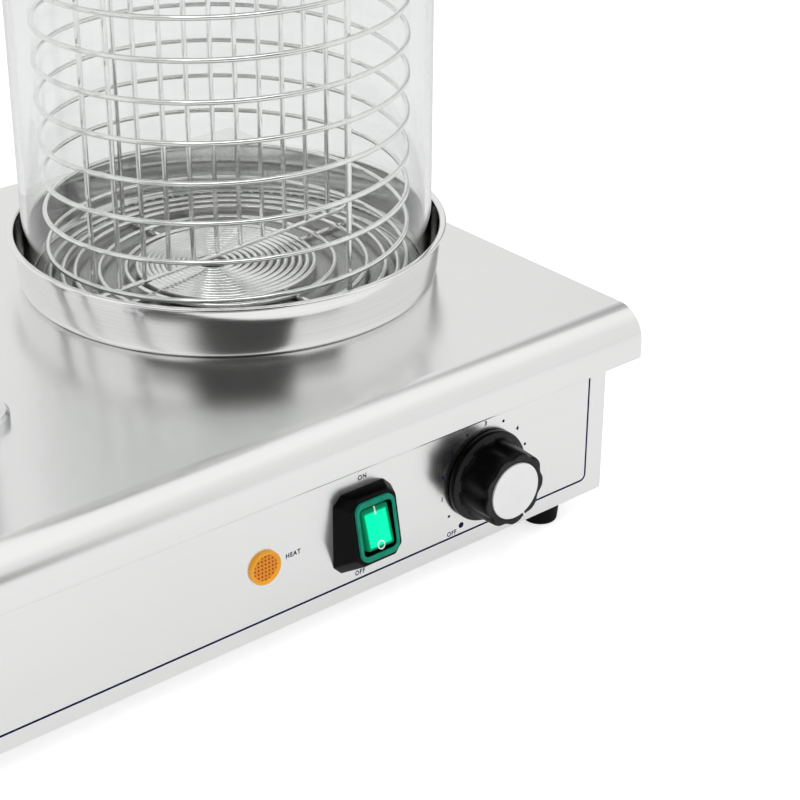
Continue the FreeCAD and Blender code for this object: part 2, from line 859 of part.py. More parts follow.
def switch_opening():
    """The cutting body for the switch's hole in the panel."""
    width, height = switch_core_size()
    cutter = box(-width / 2 - 4 * fit_gap, width / 2 + 4 * fit_gap, 0, switch_body_depth + 3,
                 -height / 2 - 4 * fit_gap, height / 2 + 4 * fit_gap)
    return tilt_in_place(cutter).common(
        box(-right, right, front - sheet, front + 3 * sheet, floor_plate_z, cover_under))


def build_switch():
    """Thick black frame, coloured bezel, switch body and the rocker on its trunnions."""
    back = octagon(switch_back_width, switch_back_height, switch_back_chamfer, 0)
    back.translate(V(switch_x, front, control_z))
    face = octagon(switch_front_width, switch_front_height, switch_front_chamfer, bezel_thickness)
    tilt_in_place(face)
    housing = Part.makeLoft([back, face], True, True)
    width, height = switch_core_size()
    core = box(-width / 2, width / 2, bezel_thickness, switch_body_depth, -height / 2, height / 2)
    clearance_cut = box(-width / 2 - fit_gap, width / 2 + fit_gap, 0, switch_body_depth,
                        -height / 2 - fit_gap, height / 2 + fit_gap)
    keep("switch_frame", housing.cut(tilt_in_place(clearance_cut)))

    opening_width = bezel_width - 2 * bezel_border
    opening_height = bezel_height - 2 * bezel_border
    bezel = rounded_block(bezel_width, bezel_height, bezel_corner, 0, bezel_thickness)
    bezel = bezel.cut(rounded_block(opening_width, opening_height, 1.2, -1, bezel_thickness + 1))
    lead_in = [e for e in bezel.Edges if abs(e.CenterOfMass.y) < 0.01]
    bezel = bezel.makeChamfer(0.5, lead_in)
    keep("switch_bezel", tilt_in_place(bezel))

    cavity_width = opening_width + 2 * fit_gap
    cavity_depth = rocker_thickness + 6.0
    cavity = box(-cavity_width / 2, cavity_width / 2, bezel_thickness, bezel_thickness + cavity_depth,
                 -opening_height / 2 - 0.8, opening_height / 2 + 0.8)
    body = core.cut(cavity)
    pivot = rocker_pivot_depth()
    half = cavity_width / 2 + switch_wall
    body = body.cut(rod(V(-half, pivot, 0), RIGHT, trunnion_radius + running_clearance, 2 * half))
    back_end = switch_body_depth + switch_tab_length
    terminals = [box(-2.4, 2.4, switch_body_depth, back_end, z - 0.4, z + 0.4) for z in switch_tab_heights]
    keep("switch_body", tilt_in_place(body.fuse(terminals).removeSplitter()))

    rocker_width = opening_width - 2 * rocker_clearance
    h = (opening_height - 2 * rocker_clearance - 0.6) / 2
    near = rocker_recess - h * math.sin(math.radians(rocker_stroke / 2))
    low = near + rocker_thickness
    flank = low - 3.0
    face = Part.Arc(V(0, near, -h), V(0, near + rocker_dish, 0), V(0, near, h)).toShape()
    back_points = [V(0, near, h), V(0, flank, h * 0.94), V(0, low, h * 0.35),
                   V(0, low, -h * 0.35), V(0, flank, -h * 0.94), V(0, near, -h)]
    profile = [face] + [Part.makeLine(p, q) for p, q in zip(back_points, back_points[1:])]
    rocker = Part.Face(Part.Wire(profile)).extrude(RIGHT * rocker_width)
    rocker.translate(V(-rocker_width / 2, 0, 0))
    reach = cavity_width / 2 + switch_wall - 0.3
    rocker = rocker.fuse(rod(V(-reach, pivot, 0), RIGHT, trunnion_radius, 2 * reach)).removeSplitter()
    rocker.rotate(V(0, pivot, 0), RIGHT, -rocker_stroke / 2)
    keep("rocker", tilt_in_place(rocker))


def switch_tab_end(z):
    """Rear end of one of the switch's tabs."""
    tilt = math.radians(switch_tilt)
    depth = switch_body_depth + switch_tab_length
    return switch_centre() + V(0, depth * math.cos(tilt) + z * math.sin(tilt),
                               z * math.cos(tilt) - depth * math.sin(tilt))


def rocker_pivot_depth():
    """Depth of the rocker's pivot behind the bezel's face."""
    return bezel_thickness + rocker_thickness * 0.55


def build_lamp():
    """Indicator lamp: a ribbed lens in a rim, its barrel behind the panel and the nut."""
    axis_point = V(lamp_x, front, control_z)
    out = -BACK
    rim = rod(axis_point, out, lamp_radius, lamp_rim_height)
    rim_edge = [e for e in rim.Edges if e.Closed and e.CenterOfMass.y < front - lamp_rim_height / 2]
    rim = rim.makeFillet(0.6, rim_edge)
    lens = rod(axis_point, out, lamp_lens_radius, lamp_lens_rise)
    keep("lamp_lens", rim.fuse(lens).removeSplitter())
    barrel = rod(axis_point, BACK, lamp_barrel_radius, lamp_barrel_length)
    back = front + lamp_barrel_length
    tabs = [box(lamp_x + s * lamp_tab_spread - 0.4, lamp_x + s * lamp_tab_spread + 0.4, back,
                back + lamp_tab_length, control_z - 2.4, control_z + 2.4) for s in (-1, 1)]
    keep("lamp_barrel", barrel.fuse(tabs).removeSplitter())
    place = V(lamp_x, front + sheet, control_z)
    nut = hexagon(place, BACK, lamp_nut_across, lamp_nut_thickness)
    keep("lamp_nut", nut.cut(rod(place, BACK, lamp_barrel_radius + fit_gap / 2, lamp_nut_thickness)))


# Water pan, glass and lid


def base_corner(middle, height, radius):
    """Points of a quarter round from a flat base up into a wall, about one middle."""
    turns = [math.radians(30 * k) for k in range(4)]
    return [(middle + radius * math.sin(turn), height - radius * math.cos(turn)) for turn in turns]


def build_pan():
    """Pan with a shallow well, a rounded base, a slightly flared wall and a folded rim."""
    t = pan_sheet
    h = pan_height
    rb = pan_wall_bottom_radius
    rt = pan_wall_top_radius
    rr = pan_rim_radius
    fold = rim_fold_height
    middle = rb - pan_base_round
    points = [(0.0, -well_depth), (well_radius, -well_depth), (well_radius, 0.0)]
    points += base_corner(middle, pan_base_round, pan_base_round)
    points += [
        (rt, h - fold), (rr - t, h - fold), (rr - t / 3, h - fold + t / 3), (rr, h - fold / 2),
        (rr - t / 3, h - t / 3), (rr - t, h), (rt - t, h), (rt - t, h - t),
    ]
    points += reversed(base_corner(middle, pan_base_round, pan_base_round - t))
    points += [(well_radius - t, t), (well_radius - t, -well_depth + t), (0.0, -well_depth + t)]
    keep("water_pan", lathe(points, V(pan_x, pan_y, cover_top)))


def build_glass():
    """Open glass cylinder that stands on the pan's shoulder."""
    body = ring(pan_centre(glass_base), UP, glass_radius, glass_radius - glass_wall, glass_height)
    keep("glass_cylinder", body.makeFillet(0.8, [e for e in body.Edges if e.Closed]))


def build_lid():
    """Pressed lid with a skirt around the glass, vent holes, and its knob held by a screw."""
    t = lid_sheet
    r = lid_radius
    d = lid_dome_radius
    rise = lid_dome_rise
    points = [
        (0.0, rise), (d, rise), (d + rise, 0.0), (r - t, 0.0), (r - t, -lid_skirt), (r, -lid_skirt),
        (r, t * 0.3), (r - t * 0.7, t), (d + rise + t * 0.4, t), (d + t * 0.4, rise + t), (0.0, rise + t),
    ]
    body = lathe(points, V(pan_x, pan_y, glass_top))
    body = body.cut(rod(pan_centre(glass_top), UP, lid_screw_radius + fit_gap, 3 * rise))
    for k in range(4):
        turn = math.radians(45 + 90 * k)
        place = V(pan_x + lid_vent_circle * math.cos(turn), pan_y + lid_vent_circle * math.sin(turn), glass_top)
        body = body.cut(rod(place, UP, lid_vent_radius, 3 * rise))
    keep("lid_shell", body)
    seat = glass_top + rise + t
    n = lid_knob_neck_radius
    k = lid_knob_radius
    h = lid_knob_height
    edges = lathe_edges([(0.0, 0.0), (n + 3.0, 0.0), (n + 3.0, 2.0), (n, 6.0), (n, h * 0.45),
                         (k - 2.0, h * 0.62), (k, h * 0.75), (k - 1.5, h * 0.9), (k * 0.55, h), (0.0, h)])
    knob = turned(edges, V(pan_x, pan_y, seat))
    screw_depth = h * 0.55
    knob = knob.cut(rod(pan_centre(seat), UP, lid_screw_radius + fit_gap / 5, screw_depth + fit_gap))
    keep("lid_knob", knob)
    keep("lid_screw", screw(pan_centre(glass_top + rise), -UP, screw_depth + t, 5.0, lid_screw_radius))


# Basket


def coil_top():
    """Height of the middle of the wall's last turn."""
    return coil_z + wall_pitch * (wall_turns - ramp_turn / 2)


def floor_ridge_radii():
    """Radii of the floor's ridges: even and tight at first, then opening out to the wall."""
    tight = [floor_first_radius + floor_pitch * k for k in range(floor_tight_turns + 1)]
    room = wall_radius - tight[-1]
    return tight + [tight[-1] + room * share for share in opening_shares]


def build_coil():
    """Floor and wall of the basket as one plain shell, with a ridge for each turn of its wire."""
    half = wire / 2
    low = coil_z - half
    inner = wall_radius - half
    outer = wall_radius + half
    web_top = low + shell_web
    web_outer = inner + shell_web
    flat = half - ridge_slope
    points = [(floor_first_radius - half, low), (web_outer, low)]
    for k in range(int(wall_turns)):
        z = coil_top() - wall_pitch * (wall_turns - 1 - k)
        points += [(web_outer, z - half), (outer, z - flat), (outer, z + flat)]
        if k < wall_turns - 1:
            points.append((web_outer, z + half))
    points += [(web_outer, coil_top() + half), (inner, coil_top() + half), (inner, web_top)]
    for radius in reversed(floor_ridge_radii()[1:]):
        points += [(radius + half, web_top), (radius + flat, low + wire), (radius - flat, low + wire),
                   (radius - half, web_top)]
    points += [(floor_first_radius + half, web_top), (floor_first_radius + flat, low + wire),
               (floor_first_radius - half, low + wire)]
    body = lathe(points, ORIGIN).cut(bent_wire(frame_path(), [frame_bend, frame_bend], half + post_clearance))
    keep("basket_coil", into_basket_place(body))


def into_basket_place(shape):
    """Turns a piece of the basket by its standing angle and puts it on the pan's axis."""
    shape.rotate(ORIGIN, UP, basket_turn)
    shape.translate(V(pan_x, pan_y, 0))
    return shape


def rim_height():
    """Height of the rim wire, on the last turn of the wall."""
    return coil_top() + wire + weld_gap


def frame_path():
    """Corners of the wire under the floor and up inside the wall."""
    r = wall_radius - wire - post_gap
    top = rim_height() + wire / 2
    return [V(0, -r, top), V(0, -r, spoke_z), V(0, r, spoke_z), V(0, r, top)]


def build_basket_frame():
    """Wire bent under the floor and up inside the wall, two cross wires, and the rim on top."""
    keep("basket_frame", into_basket_place(bent_wire(frame_path(), [frame_bend, frame_bend], wire / 2)))
    inner = wire / 2 + weld_gap
    length = wall_radius - inner
    spokes = [rod(V(side * inner, 0, spoke_z), RIGHT * side, wire / 2, length) for side in (-1, 1)]
    keep("basket_spokes", into_basket_place(group(spokes)))
    rim = Part.makeTorus(wall_radius, wire / 2, V(0, 0, rim_height()), UP)
    keep("basket_rim", into_basket_place(rim))


def build_divider():
    """Divider between the two halves of the basket, hung from the rim, and its lifting handle."""
    low = coil_z + divider_lift - weld_gap
    bar = rim_height() + wire + weld_gap
    w = divider_half_width
    side_top = bar - wire / 2 - weld_gap
    outline = [V(-w, 0, side_top), V(-w, 0, low), V(w, 0, low), V(w, 0, side_top)]
    frame = bent_wire(outline, [frame_bend + wire / 2, frame_bend + wire / 2], wire / 2)
    top_bar = rod(V(-wall_radius - wire / 2, 0, bar), RIGHT, wire / 2, 2 * wall_radius + wire)
    keep("divider_frame", into_basket_place(group([frame, top_bar])))
    bottom = low + wire / 2 + weld_gap
    places = [side * divider_wire_spacing * (k + 0.5)
              for k in range(divider_wires_each_side) for side in (-1, 1)]
    bars = [rod(V(x, 0, bottom), UP, wire / 2, side_top - bottom) for x in places]
    keep("divider_wires", into_basket_place(group(bars)))
    foot = bar + wire / 2 + weld_gap
    h = handle_half_width
    loop = [V(-h, 0, foot), V(-h, 0, foot + handle_rise), V(h, 0, foot + handle_rise), V(h, 0, foot)]
    keep("basket_handle", into_basket_place(bent_wire(loop, [frame_bend * 2, frame_bend * 2], wire / 2)))


# Bun spikes


def spike_places():
    """Axes of the four spikes, over the cabinet's other half."""
    return [(spike_zone_x + sx * spike_spacing_x / 2, pan_y + sy * spike_spacing_y / 2)
            for sy in (-1, 1) for sx in (-1, 1)]


def build_spikes():
    """Four heated spikes, each with a washer and nut under the cover and a cartridge heater inside."""
    washers = []
    nuts = []
    heaters = []
    for k, (x, y) in enumerate(spike_places()):
        keep("bun_spike_%d" % (k + 1), spike(x, y))
        low = cover_under - spike_washer_thickness
        neck = spike_neck_radius
        washers.append(ring(V(x, y, low), UP, spike_washer_radius, neck + fit_gap, spike_washer_thickness))
        place = V(x, y, low - spike_nut_height)
        nut = hexagon(place, UP, spike_nut_across, spike_nut_height)
        nuts.append(nut.cut(rod(place, UP, neck + fit_gap / 2, spike_nut_height)))
        heaters.append(rod(V(x, y, cover_top - spike_neck_length), UP, cartridge_radius, cartridge_length))
    keep("spike_washers", group(washers))
    keep("spike_nuts", group(nuts))
    keep("spike_heaters", group(heaters))


def spike(x, y):
    """One spike with its flange, threaded neck, tapered tip and the bore for its heater."""
    r = spike_radius
    f = spike_flange_radius
    neck = spike_neck_radius
    low = -spike_neck_length
    rim = spike_flange_height
    shoulder = spike_length - spike_tip_length
    waist = shoulder + spike_tip_length * 0.45
    points = [(0.0, low), (neck, low), (neck, 0.0), (f, 0.0), (f, rim - 1.5), (f - 1.5, rim),
              (r + 1.0, rim), (r, rim + 1.0), (r, shoulder), (r * 0.8, waist),
              (spike_tip_radius, spike_length - 1.2), (spike_tip_radius / 2, spike_length), (0.0, spike_length)]
    body = lathe(points, V(x, y, cover_top))
    return body.cut(rod(V(x, y, cover_top + low), UP, cartridge_radius + fit_gap, cartridge_length + fit_gap))


# Wiring


def terminal_well(index, side):
    """Bottom of one clamping well of the block: index from the left, side -1 in front and 1 behind."""
    pitch = terminal_length / terminal_ways
    x = spike_zone_x + (index - (terminal_ways - 1) / 2) * pitch
    return V(x, middle_y + side * terminal_width * 0.28, floor_top + terminal_height - terminal_well_depth)


def build_terminal_block():
    """Terminal block on the bottom plate, with its clamping wells."""
    half = terminal_width / 2
    body = box(spike_zone_x - terminal_length / 2, spike_zone_x + terminal_length / 2,
               middle_y - half, middle_y + half, floor_top, floor_top + terminal_height)
    wells = [rod(terminal_well(k, side), UP, terminal_well_radius, terminal_well_depth)
             for k in range(terminal_ways) for side in (-1, 1)]
    keep("terminal_block", body.cut(wells))


def lead(points, leaving_bends=0):
    """An insulated lead through its points: the first bends are tighter, the others alike."""
    count = len(points) - 2
    radii = [leaving_bend] * leaving_bends + [lead_bend] * (count - leaving_bends)
    return bent_wire(points, radii, lead_radius)


def down_to_well(x, lane_y, level, well):
    """The end of a route: sideways in its own lane and level, then down into a well."""
    return [V(x, lane_y, level), V(well.x, lane_y, level), V(well.x, well.y, level), well]


def spike_leads():
    """Leads of the four cartridge heaters."""
    level = floor_top + terminal_height + 9.0
    last = terminal_ways - 1
    wells = [terminal_well(k, side) for side in (-1, 1) for k in (0, last)]
    leads = []
    for (x, y), well in zip(spike_places(), wells):
        leads.append(lead([V(x, y, cover_top - spike_neck_length), V(x, y, level)]
                          + down_to_well(x, well.y, level, well)[:1] + [V(well.x, well.y, level), well]))
    return leads


def switch_leads():
    """Leads of two tabs of the switch."""
    tilt = math.radians(switch_tilt)
    leaving = V(0, math.cos(tilt), -math.sin(tilt)) * 12.0
    leads = []
    for k, z in enumerate(switch_tab_heights[:2]):
        tab = switch_tab_end(z)
        level = control_z + (2 - k) * level_step
        bend = tab + leaving
        route = down_to_well(tab.x, first_lane() + k * lane_step, level, terminal_well(1 + k, -1))
        leads.append(lead([tab, bend, V(tab.x, bend.y + 12.0, level)] + route, 2))
    return leads


def lamp_leads():
    """Leads of the indicator lamp's two tabs."""
    leads = []
    for k, side in enumerate((-1, 1)):
        start = V(lamp_x + side * lamp_tab_spread, front + lamp_barrel_length + lamp_tab_length, control_z)
        level = control_z - k * level_step
        route = down_to_well(start.x, first_lane() + (2 + k) * lane_step, level, terminal_well(3 + k, -1))
        bends = [V(start.x, start.y + 12.0, start.z), V(start.x, start.y + 24.0, level)] if k else []
        leads.append(lead([start] + bends + route, len(bends)))
    return leads


def heater_leads():
    """Leads from the block through the thermostat and the cut-out to the pan's heater, and back."""
    back = front + sheet + thermostat_depth
    level = control_z + 12.0
    feed = V(knob_x - thermostat_size / 4, back, level)
    leads = [lead([feed] + down_to_well(feed.x, first_lane() + 5 * lane_step, level, terminal_well(3, 1)))]
    output = V(knob_x + thermostat_size / 3, back, level)
    tab = cutout_tab_end(1)
    cross_y = tab.y - 27.0
    leads.append(lead([output, V(output.x, cross_y, level), V(tab.x, cross_y, level),
                       V(tab.x, tab.y, level), tab]))
    first_leg, last_leg = element_leg_ends()
    tab = cutout_tab_end(-1)
    level = first_leg.z - 10.0
    leads.append(lead([tab, V(tab.x, tab.y, level), V(first_leg.x, tab.y, level),
                       V(first_leg.x, first_leg.y, level), first_leg]))
    well = terminal_well(4, 1)
    level = last_leg.z - 13.0
    leads.append(lead([last_leg, V(last_leg.x, last_leg.y, level), V(well.x, well.y, level), well]))
    return leads


def earth_lead():
    """Lead from the earth stud to the block."""
    stud = earth_place() + UP * earth_stud_height
    level = stud.z + 13.0
    return lead([stud] + down_to_well(stud.x, stud.y, level, terminal_well(1, 1)))


def first_lane():
    """Where the frontmost of the sideways runs lies, behind the switch."""
    return front + 59.0


def build_wiring():
    """Leads between the terminal block and the heaters, the switch, the lamp and the thermostat."""
    leads = spike_leads() + switch_leads() + lamp_leads() + heater_leads() + [earth_lead()]
    keep("wiring_loom", group(leads))


def build_gland():
    """Cord gland in the rear panel, with its nut inside."""
    c = gland_centre()
    neck = gland_radius * 0.75
    neck_length = 8.0
    nut_height = 5.0
    outside = V(c.x, rear, c.z)
    body = rod(c - BACK * neck_length, BACK, neck, neck_length + sheet)
    cap_base = outside + BACK * gland_hex_height
    cap = Part.makeCone(gland_radius * 0.85, gland_radius * 0.6, gland_cone_height, cap_base, BACK)
    body = body.fuse([hexagon(outside, BACK, gland_radius * 1.9, gland_hex_height), cap]).removeSplitter()
    reach = neck_length + sheet + gland_hex_height + gland_cone_height
    body = body.cut(rod(c - BACK * neck_length, BACK, gland_bore_radius, reach))
    keep("cord_gland", body)
    place = c - BACK * nut_height
    nut = hexagon(place, BACK, 2 * gland_radius, nut_height)
    keep("gland_nut", nut.cut(rod(place, BACK, neck + fit_gap / 2, nut_height)))


def earth_place():
    """Foot of the earth stud on the bottom plate."""
    return V(right - gland_inset, rear - 45.0, floor_top)


def build_earth():
    """Earth stud on the bottom plate with its nut."""
    nut_height = 3.2
    keep("earth_stud", rod(earth_place(), UP, earth_stud_radius, earth_stud_height))
    nut = hexagon(earth_place(), UP, 7.0, nut_height)
    keep("earth_nut", nut.cut(rod(earth_place(), UP, earth_stud_radius + fit_gap / 2, nut_height)))


def main():
    """Builds every sub-part and writes one STEP file for each."""
    os.makedirs("parts", exist_ok=True)
    build_cabinet_shell()
    build_bottom_plate()
    build_rear_panel()
    build_rear_brackets()
    build_rear_screws()
    build_cover_fastening()
    build_feet()
    build_top_cover()
    build_heating_plate()
    build_heater_element()
    build_clamp()
    build_cutout()
    build_bulb()
    build_thermostat()
    build_knob()
    build_switch()
    build_lamp()
    build_pan()
    build_glass()
    build_lid()
    build_coil()
    build_basket_frame()
    build_divider()
    build_spikes()
    build_terminal_block()
    build_wiring()
    build_gland()
    build_earth()
    for name, shape in NODES.items():
        if not shape.isValid():
            print("not valid:", name)
        shape.exportStep("parts/%s.step" % name)
    print(len(NODES), "nodes")


main()
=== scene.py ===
"""Hot dog spike machine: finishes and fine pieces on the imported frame. Sizes are in millimetres."""
import json
import math
import random

import bmesh
import bpy
from mathutils import Matrix, Vector


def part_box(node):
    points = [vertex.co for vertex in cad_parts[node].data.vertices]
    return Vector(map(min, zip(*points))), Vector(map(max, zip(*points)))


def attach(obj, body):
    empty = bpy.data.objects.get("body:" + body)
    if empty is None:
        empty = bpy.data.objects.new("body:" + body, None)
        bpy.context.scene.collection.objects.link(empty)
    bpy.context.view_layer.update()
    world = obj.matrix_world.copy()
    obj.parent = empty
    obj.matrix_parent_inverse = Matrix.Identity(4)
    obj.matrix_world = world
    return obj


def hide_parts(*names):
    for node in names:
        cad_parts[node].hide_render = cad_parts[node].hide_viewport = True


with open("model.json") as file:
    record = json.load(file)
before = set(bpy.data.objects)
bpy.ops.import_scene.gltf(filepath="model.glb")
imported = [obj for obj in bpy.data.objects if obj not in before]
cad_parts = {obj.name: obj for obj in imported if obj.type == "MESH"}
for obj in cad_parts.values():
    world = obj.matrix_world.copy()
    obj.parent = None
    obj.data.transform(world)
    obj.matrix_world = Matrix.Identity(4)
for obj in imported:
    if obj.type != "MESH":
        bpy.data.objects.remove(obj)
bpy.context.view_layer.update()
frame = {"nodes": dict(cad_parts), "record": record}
nodes = frame["nodes"]

MM = 0.001

# Places in the frame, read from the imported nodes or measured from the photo
panel_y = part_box("cabinet_shell")[0].y / MM
panel_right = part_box("cabinet_shell")[1].x / MM
panel_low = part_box("cabinet_shell")[0].z / MM
control_z = panel_low + 35.2
dial_z = control_z + 0.4
knob_x = panel_right - 78.9
switch_x = panel_right - 152.3
lamp_x = panel_right - 206.6
pan_low, pan_high = (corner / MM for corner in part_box("water_pan"))
pan_x = (pan_low.x + pan_high.x) / 2
pan_y = (pan_low.y + pan_high.y) / 2
cover_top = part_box("top_cover")[1].z / MM

# Basket wire
wire = 2.5
basket_turn = 5.0
coil_z = 112.3
floor_first_radius = 7.8
floor_pitch = 3.07
floor_tight_turns = 12
opening_radii = (54.1, 69.7, 78.4, 84.1)
floor_middle_shift = (-6.5, 5.5)
last_opening_turn = 0.475
wall_radius = 88.1
wall_pitch = 18.9
wall_turns = 9.0
ramp_turn = 0.5
coil_start_angle = -45.0

# Knob
knob_lobes = 9
knob_lobe_angle = 15.0
pointer_angle = 157.0

# Switch
switch_tilt = 11.0
switch_face_depth = 11.3
switch_face_rise = 3.8
rocker_lean = 6.0


# Stage

def make_camera():
    """The photograph's viewpoint, solved from the panel, the dial, the pan and the wires."""
    forward = Vector((0.57222, 0.67716, -0.46262)).normalized()
    side = forward.cross(Vector((0, 0, 1))).normalized()
    up = side.cross(forward)
    roll = math.radians(0.35)
    right = side * math.cos(roll) + up * math.sin(roll)
    top = up * math.cos(roll) - side * math.sin(roll)
    data = bpy.data.cameras.new("camera")
    data.sensor_width = 36.0
    data.lens = 93.56
    data.clip_start = 0.05
    data.clip_end = 50.0
    camera = bpy.data.objects.new("camera", data)
    bpy.context.scene.collection.objects.link(camera)
    turn = Matrix((right, top, -forward)).transposed().to_4x4()
    camera.matrix_world = Matrix.Translation((-0.41741, -0.77418, 0.52898)) @ turn
    bpy.context.scene.camera = camera


def add(tree, kind, settings=None, inputs=None):
    """One shader node with its settings and the values of its inputs."""
    made = tree.nodes.new(kind)
    for key, value in (settings or {}).items():
        setattr(made, key, value)
    for key, value in (inputs or {}).items():
        made.inputs[key].default_value = value
    return made


def calculate(tree, operation, *values):
    """A math node: each value is a number or a socket."""
    made = add(tree, "ShaderNodeMath", {"operation": operation})
    for slot, value in zip(made.inputs, values):
        if isinstance(value, (int, float)):
            slot.default_value = value
        else:
            tree.links.new(value, slot)
    return made.outputs[0]


def seen_directly(tree):
    """One where the camera, a reflection or a view through glass looks."""
    path = add(tree, "ShaderNodeLightPath")
    seen = calculate(tree, "MAXIMUM", path.outputs["Is Camera Ray"], path.outputs["Is Glossy Ray"])
    return calculate(tree, "MAXIMUM", seen, path.outputs["Is Transmission Ray"]), path


def eased(tree, value, start, end):
    """Zero up to one value and one from the other on, with a soft change between them."""
    made = add(tree, "ShaderNodeMapRange", {"interpolation_type": "SMOOTHSTEP"}, {"From Min": start, "From Max": end})
    tree.links.new(value, made.inputs["Value"])
    return made.outputs[0]


def dark_patch(tree, azimuth, rise, left, right, top):
    """A soft dark patch of the surroundings between two directions in degrees and below a height."""
    from_left = eased(tree, azimuth, math.radians(left[0]), math.radians(left[1]))
    from_right = eased(tree, azimuth, math.radians(right[0]), math.radians(right[1]))
    between = calculate(tree, "MULTIPLY", from_left, from_right)
    return calculate(tree, "MULTIPLY", between, eased(tree, rise, *top))


def make_world():
    """White surroundings, with the dark side of the studio behind the camera for reflections."""
    world = bpy.data.worlds.new("studio")
    bpy.context.scene.world = world
    world.use_nodes = True
    tree = world.node_tree
    tree.nodes.clear()
    seen, path = seen_directly(tree)
    place = add(tree, "ShaderNodeTexCoord")
    parts = add(tree, "ShaderNodeSeparateXYZ")
    tree.links.new(place.outputs["Generated"], parts.inputs[0])
    azimuth = calculate(tree, "ARCTAN2", parts.outputs["Y"], parts.outputs["X"])
    rise = parts.outputs["Z"]
    wall = dark_patch(tree, azimuth, rise, (-157, -138), (-90, -93), (1.02, 0.85))
    table = dark_patch(tree, azimuth, rise, (-178, -165), (-60, -72), (0.37, 0.28))
    side = calculate(tree, "MULTIPLY", dark_patch(tree, azimuth, rise, (10, 18), (41, 35), (0.85, 0.7)), 0.6)
    dark = calculate(tree, "MAXIMUM", calculate(tree, "MAXIMUM", wall, side), table)
    bright = calculate(tree, "MULTIPLY_ADD", eased(tree, rise, 0.5, 0.8), 0.16, 0.86)
    shade = calculate(tree, "MULTIPLY", bright, calculate(tree, "MULTIPLY_ADD", dark, -0.95, 1.0))
    level = add(tree, "ShaderNodeMix")
    tree.links.new(path.outputs["Is Glossy Ray"], level.inputs[0])
    level.inputs[2].default_value = 1.0
    tree.links.new(shade, level.inputs[3])
    light = add(tree, "ShaderNodeBackground", None, {"Color": (1, 1, 1, 1), "Strength": 0.62})
    white = add(tree, "ShaderNodeBackground", None, {"Color": (1, 1, 1, 1)})
    tree.links.new(level.outputs[0], white.inputs["Strength"])
    mix = add(tree, "ShaderNodeMixShader")
    tree.links.new(seen, mix.inputs[0])
    tree.links.new(light.outputs[0], mix.inputs[1])
    tree.links.new(white.outputs[0], mix.inputs[2])
    out = add(tree, "ShaderNodeOutputWorld")
    tree.links.new(mix.outputs[0], out.inputs["Surface"])


def make_floor():
    """Plain pale floor that keeps the machine's soft shadow."""
    bm = bmesh.new()
    bmesh.ops.create_grid(bm, x_segments=1, y_segments=1, size=5000)
    floor = link_mesh("floor", bm)
    material, tree, surface = start("pale_floor", (0.9, 0.9, 0.9), 0.7)
    surface.inputs["Specular IOR Level"].default_value = 0.1
    seen, path = seen_directly(tree)
    speckle = noise(tree, (300, 300, 300), 2.0)
    tree.links.new(ranged(tree, speckle, 0.6, 0.8), surface.inputs["Roughness"])
    looked_at = calculate(tree, "SUBTRACT", seen, calculate(tree, "MULTIPLY", path.outputs["Is Glossy Ray"], 0.8))
    glow = calculate(tree, "MULTIPLY", looked_at, 0.6)
    surface.inputs["Emission Color"].default_value = (1, 1, 1, 1)
    tree.links.new(glow, surface.inputs["Emission Strength"])
    floor.data.materials.append(material)


def make_lamp(name, place, target, size, energy):
    """A large soft area lamp."""
    data = bpy.data.lights.new(name, "AREA")
    data.shape = "SQUARE"
    data.size = size
    data.energy = energy
    lamp = bpy.data.objects.new(name, data)
    bpy.context.scene.collection.objects.link(lamp)
    lamp.visible_glossy = False
    lamp.location = place
    lamp.rotation_mode = "QUATERNION"
    lamp.rotation_quaternion = (Vector(target) - Vector(place)).to_track_quat("-Z", "Y")


# Meshes

def link_mesh(name, bm, sharp=35.0):
    """Turns a bmesh in millimetres into an object in metres, smooth but for its sharp edges."""
    bmesh.ops.scale(bm, vec=(MM, MM, MM), verts=bm.verts)
    mesh = bpy.data.meshes.new(name)
    bm.to_mesh(mesh)
    bm.free()
    mesh.shade_smooth()
    mesh.set_sharp_from_angle(angle=math.radians(sharp))
    made = bpy.data.objects.new(name, mesh)
    bpy.context.scene.collection.objects.link(made)
    return made


def piece(name, bm, body, material, stands_for=(), sharp=35.0):
    """A piece of the machine that rides on a body and stands for the nodes it shows in more detail."""
    made = link_mesh(name, bm, sharp)
    made.data.materials.append(material)
    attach(made, body)
    if stands_for:
        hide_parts(*stands_for)
    return made


def turned(profile, steps, closed=False):
    """A body turned about Z from points of radius and height."""
    bm = bmesh.new()
    points = [bm.verts.new((r, 0, z)) for r, z in profile]
    edges = [bm.edges.new(pair) for pair in zip(points, points[1:])]
    if closed:
        edges.append(bm.edges.new((points[-1], points[0])))
    bmesh.ops.spin(bm, geom=points + edges, cent=(0, 0, 0), axis=(0, 0, 1), angle=2 * math.pi,
                   steps=steps, use_merge=True)
    bmesh.ops.remove_doubles(bm, verts=bm.verts, dist=1e-4)
    bmesh.ops.recalc_face_normals(bm, faces=bm.faces)
    return bm


def arc(centre, radius, start, end, steps):
    """Points of a circular arc, angles in degrees."""
    turns = [math.radians(start + (end - start) * k / steps) for k in range(steps + 1)]
    return [(centre[0] + radius * math.cos(t), centre[1] + radius * math.sin(t)) for t in turns]


def rounded_outline(width, height, radius, steps=8):
    """Corner points of a rounded rectangle, anticlockwise from the lower right."""
    w = width / 2 - radius
    h = height / 2 - radius
    points = []
    for (cx, cy), first in (((w, -h), -90), ((w, h), 0), ((-w, h), 90), ((-w, -h), 180)):
        points += arc((cx, cy), radius, first, first + 90, steps)
    return points


def loop_at(bm, outline, z):
    """A closed loop of vertices and edges at one height."""
    points = [bm.verts.new((x, y, z)) for x, y in outline]
    return [bm.edges.new(pair) for pair in zip(points, points[1:] + points[:1])]


